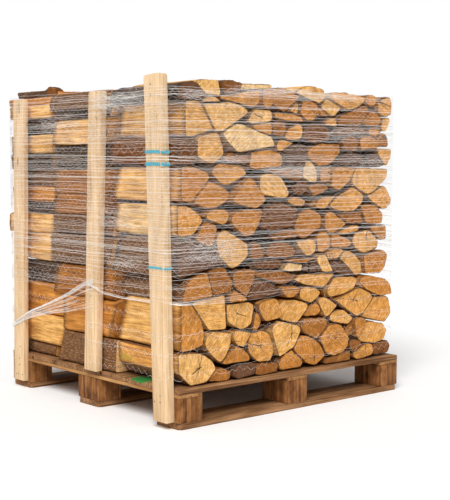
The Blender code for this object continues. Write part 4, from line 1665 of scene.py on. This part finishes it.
@dataclass
class LoosePieces:
    """The bark-covered split and the thinner one that lie on the back row.

    Attributes:
        materials: End grain, split wood and bark.
        stations: Rings along the split: deep, left, right, bottom and top of each.
        bark_tone: Tone of the split's bark.
    """

    materials: list[bpy.types.Material]
    stations: tuple[tuple[float, float, float, float, float], ...] = (
        (0.745, 0.034, 0.076, 1.0525, 1.0780), (0.772, 0.032, 0.080, 1.0525, 1.0870),
        (0.792, 0.031, 0.086, 1.0525, 1.0870), (0.814, 0.031, 0.090, 1.0525, 1.0745),
        (0.880, 0.031, 0.089, 1.0525, 1.0752), (0.950, 0.031, 0.088, 1.0525, 1.0765),
        (0.998, 0.031, 0.080, 1.0525, 1.0755),
    )
    bark_tone: float = 0.22

    def build(self) -> list[bpy.types.Object]:
        """Make both pieces in one.

        Returns:
            The piece, in a list.
        """
        shape = bmesh.new()
        self.add_split(shape)
        self.add_splinter(shape)
        nodes = ["loose_split_on_top"]
        return [
            finish_piece(shape, "loose_split", self.materials, nodes, "bark_slab", keep_normals=True)
        ]

    def add_splinter(self, whole: bmesh.types.BMesh) -> None:
        """A thin orange strip of wood that lies in front of the split.

        Args:
            whole: Takes the strip.
        """
        shape = bmesh.new()
        tone_layer = shape.verts.layers.float.new("tone")
        bmesh.ops.create_cube(shape, size=1.0)
        lengthwise = [
            e for e in shape.edges if abs(e.verts[0].co.y - e.verts[1].co.y) > 0.5
        ]
        bmesh.ops.subdivide_edges(shape, edges=lengthwise, cuts=9, use_grid_fill=True)
        for vert in shape.verts:
            share = vert.co.y + 0.5
            rough = noise.noise(Vector((vert.co.x, share * 6, vert.co.z)))
            thick = 0.006 + 0.006 * share + 0.002 * rough
            vert.co = place(
                0.052 + vert.co.x * 0.036, 0.602 + share * 0.124,
                1.0535 + (vert.co.z + 0.5) * thick + 0.002 * share,
            )
            vert[tone_layer] = Tone.ORANGE.value
        for face in shape.faces:
            face.material_index = Skin.SPLIT.value
        pour_into(whole, shape)

    def add_split(self, whole: bmesh.types.BMesh) -> None:
        """A thick near end and a thin tail, bark upwards.

        Args:
            whole: Takes the split.
        """
        shape = bmesh.new()
        shape.verts.layers.float.new("tone")
        shape.verts.layers.float.new("rim")
        shape.loops.layers.uv.new("pith")
        tone_layer = shape.verts.layers.float["tone"]
        rings = []
        for deep, left, right, bottom, top in self.stations:
            step = (right - left) / 4
            corners = (
                (left + step / 2, bottom), (right - step / 2, bottom),
                (right, bottom + (top - bottom) * 0.45), (right - step, top - 0.002),
                (left + step / 2, top), (left, bottom + (top - bottom) * 0.8),
            )
            rings.append([shape.verts.new(place(x, deep, z)) for x, z in corners])
        for ring, following in zip(rings, rings[1:]):
            edges = []
            for loop in (ring, following):
                for a, b in zip(loop, loop[1:] + loop[:1]):
                    edges.append(shape.edges.get((a, b)) or shape.edges.new((a, b)))
            bmesh.ops.bridge_loops(shape, edges=edges)
        shape.faces.new(rings[0])
        shape.faces.new(rings[-1])
        bmesh.ops.recalc_face_normals(shape, faces=shape.faces[:])
        bmesh.ops.subdivide_edges(shape, edges=shape.edges[:], cuts=4, use_grid_fill=True)
        shape.normal_update()
        torn = place(0, 0.800, 0).y
        for face in shape.faces:
            bare = face.calc_center_median().y < torn and face.normal.x < -0.2
            split = abs(face.normal.y) > 0.9 or bare or face.normal.z < -0.5
            face.material_index = (Skin.SPLIT if split else Skin.BARK).value
        for vert in shape.verts:
            rough = noise.noise(vert.co * 60) + noise.noise(vert.co * 170) * 0.5
            vert.co -= vert.normal * max(0.0, 0.5 + rough) * 1.2 * MM
            vert[tone_layer] = self.bark_tone
        pour_into(whole, shape)


@dataclass
class Net:
    """Knitted net wrapped round posts and logs.

    Attributes:
        white: Thread finish.
        marker: Finish of the marker stitches.
        dense_low: Where the dense wraps begin.
        full_from: Height from which they lie as close as further up.
        high: Top of the wraps.
        low: Lower edge of the net on the front.
        pitch: Distance from point to point of a wrapped thread.
        seed: Starts its dice.
        near: How deep its front face lies.
        right: How far across its right face lies.
        far: How deep its back face lies.
        gathered_top: Upper line of the gathered edge on the left face, deep and high.
        gathered_foot: Lower line of the gathered edge.
        hem: The bunched line between the middle and the front post, deep and high.
        crumples: Middle, height, half length and half height of each crumpled patch, and how
            many threads it has. The middle counts across the front, or with a minus sign deep
            along the left face.
        crumple_points: Points of a crumpled thread.
        bands: Middle and height of each band of marker stitches.
        gathered_spots: How deep the points of the gathered edge lie.
        lower_rows: Threads of the lower net.
        gathered_strands: Threads of the gathered edge.
        hem_strands: Threads of the hem.
        stitches: Marker stitches across the post.
        bunched: Lowest and highest line of each zone where wraps lie two by two.
        outside: How far loose threads lie outside the wraps on the front.
        wrap_radius: Least and most radius of a wrapped thread, in millimetres.
        slant_radius: The same of a slanting thread.
        lower_radius: The same in the lower net.
        gathered_radius: The same in the gathered edge.
        hem_radius: The same in the hem.
        crumple_radius: The same in a crumpled patch.
    """

    white: bpy.types.Material
    marker: bpy.types.Material
    dense_low: float = 0.405
    full_from: float = 0.475
    high: float = 1.056
    low: float = 0.140
    pitch: float = 0.024
    seed: int = 5
    near: float = 0.0012
    right: float = 0.9928
    far: float = 1.0404
    gathered_top: tuple[Pair, ...] = (
        (0.966, 0.228), (0.952, 0.236), (0.845, 0.290), (0.745, 0.321), (0.652, 0.354),
        (0.576, 0.383), (0.515, 0.412), (0.456, 0.437), (0.411, 0.447),
    )
    gathered_foot: tuple[Pair, ...] = (
        (0.966, 0.214), (0.952, 0.222), (0.895, 0.243), (0.846, 0.259), (0.745, 0.282),
        (0.673, 0.295), (0.596, 0.303), (0.480, 0.323), (0.411, 0.335),
    )
    hem: tuple[Pair, ...] = (
        (0.456, 0.418), (0.415, 0.411), (0.372, 0.399), (0.262, 0.391), (0.113, 0.392),
    )
    crumples: tuple[tuple[float, float, float, float, int], ...] = (
        (0.125, 0.545, 0.120, 0.044, 36), (0.50, 0.790, 0.17, 0.024, 32),
        (0.76, 0.925, 0.14, 0.026, 20), (0.21, 0.830, 0.07, 0.018, 12),
        (0.38, 1.046, 0.20, 0.012, 26), (0.08, 1.025, 0.07, 0.020, 18),
        (0.64, 1.043, 0.16, 0.011, 20), (0.86, 0.820, 0.08, 0.020, 9),
        (-0.27, 1.008, 0.15, 0.032, 46), (-0.30, 0.640, 0.12, 0.030, 20),
        (-0.24, 0.500, 0.10, 0.030, 14), (-0.62, 0.950, 0.14, 0.030, 18),
    )
    crumple_points: int = 13
    bands: tuple[Pair, ...] = ((0.8515, 0.0100), (0.8145, 0.0112), (0.4975, 0.0070))
    gathered_spots: tuple[float, ...] = (
        0.966, 0.945, 0.925, 0.895, 0.866, 0.82, 0.77, 0.72, 0.67, 0.62, 0.57, 0.52, 0.47, 0.42,
    )
    bunched: tuple[Pair, ...] = ((0.50, 0.60), (0.80, 0.95), (1.00, 1.10))
    outside: float = 0.4 * MM
    wrap_radius: Pair = (0.18, 0.36)
    slant_radius: Pair = (0.15, 0.23)
    lower_radius: Pair = (0.17, 0.26)
    gathered_radius: Pair = (0.18, 0.34)
    hem_radius: Pair = (0.18, 0.30)
    crumple_radius: Pair = (0.15, 0.24)
    lower_rows: int = 15
    gathered_strands: int = 52
    hem_strands: int = 12
    stitches: int = 8

    def corners(self, height: float) -> list[Pair]:
        """The net's corners as seen from above at one height, across and deep.

        Args:
            height: Height in metres.

        Returns:
            The corners in order round the load.
        """
        front, back = POST_SHAPES["front"], POST_SHAPES["back"]
        return [
            (0.004, self.near), (0.964, self.near), (0.970, 0.010), (0.986, 0.080),
            (self.right, self.far - 0.003), (0.987, self.far), (0.024, self.far - 0.0105),
            (back.outer - 0.0015, 0.963), (back.outer - 0.0015, 0.866), (-0.0290, 0.455),
            (front.outer - 0.0015, front.far(height) + 0.003),
            (front.outer - 0.0015, front.near(height) - 0.003),
        ]

    def ring(self, height: float, pitch: float) -> list[Triple]:
        """Points round the load at one height.

        Args:
            height: Height in metres.
            pitch: Distance from point to point.

        Returns:
            Across, deep and distance walked for each point.
        """
        corners = self.corners(height)
        points = []
        walked = 0.0
        for (x0, y0), (x1, y1) in zip(corners, corners[1:] + corners[:1]):
            length = math.hypot(x1 - x0, y1 - y0)
            steps = max(1, round(length / pitch))
            for index in range(steps):
                part = index / steps
                spot = x0 + (x1 - x0) * part, y0 + (y1 - y0) * part
                points.append((*spot, walked + length * part))
            walked += length
        return points

    def lower_edge(self, across: float, deep: float) -> float:
        """Height of the net's lower edge at a place round the load.

        Args:
            across: How far across the place is.
            deep: How deep.

        Returns:
            The height.
        """
        if across > 0.0 or deep < 0.47:
            return self.low
        return along(self.gathered_foot, deep)

    def thread(
        self, curve: bpy.types.Curve, points: list[Vector], thickness: float, closed: bool
    ) -> None:
        """Add one thread to a curve.

        Args:
            curve: Takes the thread.
            points: Its points.
            thickness: Its radius.
            closed: Whether it runs back to its start.
        """
        spline = curve.splines.new("POLY")
        spline.points.add(len(points) - 1)
        for target, point in zip(spline.points, points):
            target.co = (*point, 1.0)
            target.radius = thickness
        spline.use_cyclic_u = closed

    def thread_above_edge(
        self, curve: bpy.types.Curve, spots: list[Triple], thickness: float
    ) -> None:
        """Add the runs of a thread that lie above the net's lower edge.

        Args:
            curve: Takes the runs.
            spots: Across, deep and high of each point.
            thickness: The thread's radius.
        """
        run: list[Vector] = []
        for across, deep, high in spots + spots[:1]:
            if high >= self.lower_edge(across, deep):
                run.append(place(across, deep, high))
                continue
            if len(run) > 1:
                self.thread(curve, run, thickness, False)
            run = []
        if len(run) > 1:
            self.thread(curve, run, thickness, False)

    def new_curve(self, name: str) -> bpy.types.Curve:
        """Begin a curve whose threads take their radius in metres.

        Args:
            name: The curve's name.

        Returns:
            The curve.
        """
        curve = bpy.data.curves.new(name, "CURVE")
        curve.dimensions = "3D"
        curve.bevel_depth = 1.0
        curve.bevel_resolution = 0
        curve.use_fill_caps = True
        return curve

    def finish(
        self, curve: bpy.types.Curve, name: str, material: bpy.types.Material,
        replaced: Iterable[str] = (),
    ) -> bpy.types.Object:
        """Turn a curve of threads into a mesh piece.

        Args:
            curve: The threads.
            name: The piece's name.
            material: Its finish.
            replaced: CAD nodes that it stands for.

        Returns:
            The piece.
        """
        carrier = bpy.data.objects.new(name + "_path", curve)
        bpy.context.collection.objects.link(carrier)
        graph = bpy.context.evaluated_depsgraph_get()
        mesh = bpy.data.meshes.new_from_object(carrier.evaluated_get(graph))
        bpy.data.objects.remove(carrier)
        mesh.name = name
        mesh.materials.clear()
        return hang_piece(mesh, [material], replaced, "net_thread")

    def wave(self, walked: float, start: float, swing: float) -> float:
        """How far a thread strays from its height.

        Args:
            walked: How far round the load the place is.
            start: Tells threads apart.
            swing: Size of the waves.

        Returns:
            The height that it gains or loses.
        """
        slow = noise.noise(Vector((walked * 3.1, start * 37, 0.0)))
        quick = noise.noise(Vector((walked * 13.0, start * 91, 4.0)))
        return swing * (slow + 0.6 * quick)

    def wraps(self, dice: random.Random) -> list[Triple]:
        """Choose where the wrapped threads lie: in loose bunches.

        Args:
            dice: The net's dice.

        Returns:
            Height, tilt and radius of each.
        """
        found = []
        height = self.dense_low
        while height < self.high:
            dense = any(low < height < high for low, high in self.bunched)
            tilt = dice.uniform(-0.009, 0.009)
            for _ in range(dice.choice((1, 2, 2) if dense else (1, 1, 1, 2))):
                found.append(
                    (height + dice.uniform(-1.8, 1.8) * MM, tilt + dice.uniform(-0.004, 0.004),
                     dice.uniform(*self.wrap_radius) * MM)
                )
            height += dice.uniform(0.0050, 0.0115) * (1.0 if height > self.full_from else 2.0)
        return found

    def build(self) -> list[bpy.types.Object]:
        """Make wraps, slanting threads, the lower net, its gathered edge and the markers.

        Returns:
            The pieces.
        """
        dice = random.Random(self.seed)
        pieces = self.build_wraps(dice)
        steps = (self.build_slanting, self.build_lower, self.build_gathered, self.build_crumples)
        pieces.extend(step(dice) for step in steps)
        return [*pieces, self.build_markers()]

    def build_crumples(self, dice: random.Random) -> bpy.types.Object:
        """Patches where slack threads lie crumpled together and look white.

        Args:
            dice: The net's dice.

        Returns:
            The piece.
        """
        curve = self.new_curve("crumples")
        for middle, high, reach, tall, count in self.crumples:
            for _ in range(count):
                length = reach * dice.uniform(0.4, 1.0)
                start = middle + dice.uniform(-1, 1) * (reach - length) - length
                level = high + dice.uniform(-1, 1) * tall * 0.7
                slope = dice.uniform(-0.12, 0.12)
                points = []
                for step in range(self.crumple_points):
                    walked = 2 * length * step / (self.crumple_points - 1)
                    stray = dice.uniform(-1, 1) * tall * 0.3
                    rise = (walked - length) * slope + stray
                    points.append(self.on_face(start + walked, level + rise))
                self.thread(curve, points, dice.uniform(*self.crumple_radius) * MM, False)
        return self.finish(curve, "net_crumpled_threads", self.white)

    def on_face(self, walk: float, height: float) -> Vector:
        """Find a point just outside the net, on its front or its left face.

        Args:
            walk: How far across the front, or with a minus sign how deep along the left face.
            height: Height in metres.

        Returns:
            The point in the part's frame.
        """
        height = min(self.high + 0.004, height)
        if walk >= 0.0:
            return place(walk, self.near - self.outside, height)
        front, back = POST_SHAPES["front"], POST_SHAPES["back"]
        path = (
            (front.far(height) + 0.003, front.outer - 0.0015), (0.455, -0.0290),
            (0.866, back.outer - 0.0015),
        )
        return place(along(path, -walk) - 0.3 * MM, -walk, height)

    def build_wraps(self, dice: random.Random) -> list[bpy.types.Object]:
        """Threads wound round the load, in a lower and an upper piece.

        Args:
            dice: The net's dice.

        Returns:
            Both pieces.
        """
        lines = self.wraps(dice)
        total = self.ring(0.6, self.pitch)[-1][2] + self.pitch
        pieces = []
        for number, part in enumerate((lines[:len(lines) // 2], lines[len(lines) // 2:])):
            curve = self.new_curve("wraps")
            for height, tilt, radius in part:
                phase = dice.uniform(0, math.tau)
                points = []
                for across, deep, walked in self.ring(height, self.pitch):
                    high = height + tilt * math.sin(math.tau * walked / total + phase)
                    high += self.wave(walked, height, 4.6 * MM)
                    points.append(place(across, deep, min(self.high + 0.006, high)))
                self.thread(curve, points, radius, True)
            name, nodes = f"net_wrapped_threads_{number + 1}", [] if number else ["net"]
            pieces.append(self.finish(curve, name, self.white, nodes))
        return pieces

    def build_slanting(self, dice: random.Random) -> bpy.types.Object:
        """Fine threads that run to and fro between the wraps, steep and flat ones mixed.

        Args:
            dice: The net's dice.

        Returns:
            The piece.
        """
        curve = self.new_curve("slanting")
        height = self.dense_low - 0.010
        while height < self.high - 0.010:
            step = dice.uniform(0.007, 0.022)
            pitch = dice.choice((0.013, 0.017, 0.022, 0.045))
            shift = dice.uniform(0, 10)
            points = []
            for index, (across, deep, walked) in enumerate(self.ring(height, pitch)):
                uneven = 0.7 + noise.noise(Vector((walked * 8 + shift, height * 50, 0.0)))
                high = height + step * (index % 2) * uneven
                high += self.wave(walked + shift, height, 5.0 * MM)
                points.append(place(across, deep, min(self.high + 0.004, high)))
            self.thread(curve, points, dice.uniform(*self.slant_radius) * MM, True)
            height += step * dice.uniform(0.3, 0.7) * (1.0 if height > self.full_from else 2.0)
        return self.finish(curve, "net_slanting_threads", self.white)

    def build_lower(self, dice: random.Random) -> bpy.types.Object:
        """The single wide-meshed layer below the dense wraps.

        Args:
            dice: The net's dice.

        Returns:
            The piece.
        """
        curve = self.new_curve("lower")
        for row in range(self.lower_rows):
            height = self.low + (self.dense_low - self.low) * dice.random() ** 0.8
            swing = dice.uniform(0.006, 0.022)
            step = dice.choice((0.0, 0.012, 0.026, 0.040))
            shift = dice.uniform(0, 10)
            spots = []
            for index, (across, deep, walked) in enumerate(self.ring(height, 0.016)):
                uneven = 0.5 + noise.noise(Vector((walked * 9, row, 0.0)))
                high = height + step * (index % 2) * uneven
                high += self.wave(walked + shift, row * 0.13, swing)
                spots.append((across, deep, min(self.dense_low + 0.02, high)))
            self.thread_above_edge(curve, spots, dice.uniform(*self.lower_radius) * MM)
        return self.finish(curve, "net_lower_threads", self.white)

    def build_gathered(self, dice: random.Random) -> bpy.types.Object:
        """The lower edge: bunched at the back post, fanned out before the middle one.

        Args:
            dice: The net's dice.

        Returns:
            The piece.
        """
        curve = self.new_curve("gathered")
        spots = self.gathered_spots
        for strand in range(self.gathered_strands):
            share = 1 - dice.random() ** 1.3 if strand % 4 else dice.uniform(0.80, 1.0)
            stop = len(spots) - (dice.choice((0, 1, 2, 3)) if share < 0.6 else 0)
            points = []
            for deep in spots[:stop]:
                low, high = along(self.gathered_foot, deep), along(self.gathered_top, deep)
                across = -0.0228 - 0.0065 * (0.966 - deep) / 0.5 - dice.uniform(0.0, 1.0) * MM
                drift = dice.uniform(-1.2, 1.2) * MM
                points.append(place(across, deep, low + (high - low) * share + drift))
            self.thread(curve, points, dice.uniform(*self.gathered_radius) * MM, False)
        for strand in range(self.hem_strands):
            share = dice.uniform(-1, 1)
            points = []
            for deep, high in self.hem:
                across = -0.0288 - 0.0060 * (0.456 - deep) / 0.34 - dice.uniform(0.0, 0.5) * MM
                points.append(place(across, deep, high + share * 4.5 * MM))
            start, end = 0.004, dice.uniform(0.06, 0.34)
            while start < end:
                spread = 5 * MM + 0.07 * start
                high = 0.390 + share * spread + self.wave(start + strand, strand, 6 * MM)
                points.append(place(start, self.near - self.outside, high))
                start += 0.03
            self.thread(curve, points, dice.uniform(*self.hem_radius) * MM, False)
        return self.finish(curve, "net_gathered_edge", self.white)

    def build_markers(self) -> bpy.types.Object:
        """Tinted stitches, flat and close together, where the marker bands cross the post.

        Returns:
            The piece.
        """
        shape = bmesh.new()
        post = POST_SHAPES["front"]
        for middle, tall in self.bands:
            near, far = post.near(middle), post.far(middle)
            for index in range(self.stitches):
                share = (index + 0.5) / self.stitches
                rise = 1.6 * MM * math.sin(share * math.pi) + 0.5 * MM * math.sin(index * 2.3)
                spot = place(post.outer - 2.1 * MM, near + (far - near) * share, middle + rise)
                size = (0.9 * MM, (far - near) / self.stitches - 2.6 * MM, tall)
                self.add_stitch(shape, spot, size, Axis.Y)
            for index in range(3):
                spot = place(-0.0275 + index * 0.0108, near - 3.4 * MM, middle + 0.2 * MM)
                self.add_stitch(shape, spot, (0.0093, 0.9 * MM, tall), Axis.X)
        return finish_piece(shape, "net_marker_stitches", [self.marker], slot="net_thread")

    def add_stitch(
        self, whole: bmesh.types.BMesh, middle: Vector, size: Triple, run: Axis
    ) -> None:
        """One flat rounded stitch that slants a little.

        Args:
            whole: Takes the stitch.
            middle: Its middle.
            size: Its size along each axis.
            run: The axis along the band.
        """
        made = bmesh.ops.create_cube(whole, size=1.0)["verts"]
        for vert in made:
            moved = Vector(vert.co[i] * size[i] for i in range(3))
            moved[run.value] += moved.z * 0.22
            vert.co = middle + moved
        flat = 1 - run.value
        ends = []
        for edge in {e for v in made for e in v.link_edges}:
            way = edge.verts[0].co - edge.verts[1].co
            if abs(way[flat]) > 0.5 * MM and abs(way.z) < 0.5 * MM:
                ends.append(edge)
        bmesh.ops.bevel(
            whole, geom=ends, offset=1.8 * MM, segments=3, affect="EDGES", profile=0.5,
        )


@dataclass
class Studio:
    """Pale floor, soft light and the camera at the photo's view.

    Attributes:
        eye: Where the camera stands, across, deep and high.
        heading: Where it looks, in degrees from X towards Y.
        pitch: How far it looks up, in degrees.
        focal_pixels: Its focal length in pixels of the photo.
        half_height_pixels: Half the photo's height.
        surround: How strongly the white surroundings light the load.
        power: Strength of the soft box.
        towards: Direction from the load to the soft box.
        floor_size: Size of the floor.
    """

    eye: Triple = (-2.1388, -2.7252, 0.8214)
    heading: float = 49.584
    pitch: float = -4.385
    focal_pixels: float = 1147.3
    half_height_pixels: float = 250.0
    surround: float = 0.40
    power: float = 2.95
    towards: Triple = (-0.52, -0.46, 0.72)
    floor_size: float = 14.0

    def build(self) -> None:
        """Make floor, lights, world and camera."""
        shape = bmesh.new()
        bmesh.ops.create_grid(shape, x_segments=2, y_segments=2, size=self.floor_size)
        floor_mesh = bpy.data.meshes.new("studio_floor")
        shape.to_mesh(floor_mesh)
        shape.free()
        floor_mesh.materials.append(StudioPaper().build())
        floor = bpy.data.objects.new("studio_floor", floor_mesh)
        bpy.context.collection.objects.link(floor)
        self.add_world()
        self.add_light()
        self.add_camera()

    def add_world(self) -> None:
        """White surroundings that light the load less than they show."""
        world = bpy.data.worlds.new("studio")
        world.use_nodes = True
        tree = world.node_tree
        background = tree.nodes["Background"]
        background.inputs["Color"].default_value = (1.0, 1.0, 1.0, 1.0)
        seen = add_node(tree, "ShaderNodeLightPath").outputs["Is Camera Ray"]
        inputs = {"Value": seen, "To Min": self.surround, "To Max": 1.0}
        strength = add_node(tree, "ShaderNodeMapRange", inputs).outputs["Result"]
        tree.links.new(strength, background.inputs["Strength"])
        bpy.context.scene.world = world
        bpy.context.scene.view_settings.view_transform = "Standard"

    def add_light(self) -> None:
        """A broad soft light from above the camera's left shoulder."""
        light = bpy.data.lights.new("soft_box", "SUN")
        light.angle = math.radians(30)
        light.energy = self.power
        lamp = bpy.data.objects.new("soft_box", light)
        lamp.rotation_euler = (-Vector(self.towards)).to_track_quat("-Z", "Y").to_euler()
        bpy.context.collection.objects.link(lamp)

    def add_camera(self) -> None:
        """The photo's view."""
        data = bpy.data.cameras.new("view")
        data.sensor_width = 36.0
        data.lens = data.sensor_width / 2 * self.focal_pixels / self.half_height_pixels
        data.clip_start, data.clip_end = 0.05, 60.0
        camera = bpy.data.objects.new("view", data)
        camera.location = place(*self.eye)
        turn, tilt = math.radians(self.heading), math.radians(self.pitch)
        ahead = Vector(
            (math.cos(turn) * math.cos(tilt), math.sin(turn) * math.cos(tilt), math.sin(tilt))
        )
        camera.rotation_euler = ahead.to_track_quat("-Z", "Y").to_euler()
        bpy.context.collection.objects.link(camera)
        bpy.context.scene.camera = camera


def main() -> None:
    """Build every piece and dress it."""
    logging.basicConfig(level=logging.INFO, format="%(name)s: %(message)s")
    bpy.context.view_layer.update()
    Studio().build()
    log_materials = [SawnEndGrain().build(), SplitWood().build(), Bark().build()]
    outer_board = SawnTimber(
        "spruce_board_weathered", Axis.X, "#AC825A", "#845A36", "#523420", "#402817",
        grime=0.8, painted=True,
    ).build()
    cross_board = SawnTimber(
        "spruce_cross_board_weathered", Axis.Y, "#C2925C", "#A06F41", "#6C492C", "#4A2F1B",
        grime=0.8,
    ).build()
    block = SawnTimber(
        "spruce_block_weathered", Axis.Z, "#A37040", "#865630", "#5E3A1E", "#382013",
        line=11 * MM, patch=(0.030, 0.055), grime=1.15,
    ).build()
    post = SawnTimber(
        "spruce_post_fresh", Axis.Z, "#E7C8A1", "#DEBA8E", "#CBA06E", "#94673B", grime=0.0,
    ).build()
    steel = NailSteel().build()
    builders: list[Callable[[], list[bpy.types.Object]]] = [
        Pallet(outer_board, cross_board, block).build,
        Posts(post, steel).build,
        LogRow("front", log_materials, 11).build,
        LogRow("middle", log_materials, 23).build,
        LogRow("back", log_materials, 37).build,
        LoosePieces(log_materials).build,
        Net(
            KnittedThread("polyethylene_thread_white", "#FBF9F5").build(),
            KnittedThread("polyethylene_thread_turquoise", "#3FB2CC").build(),
        ).build,
    ]
    for build in builders:
        for piece in build():
            LOG.info("made %s with %d faces", piece.name, len(piece.data.polygons))


if __name__ == "__main__":
    main()
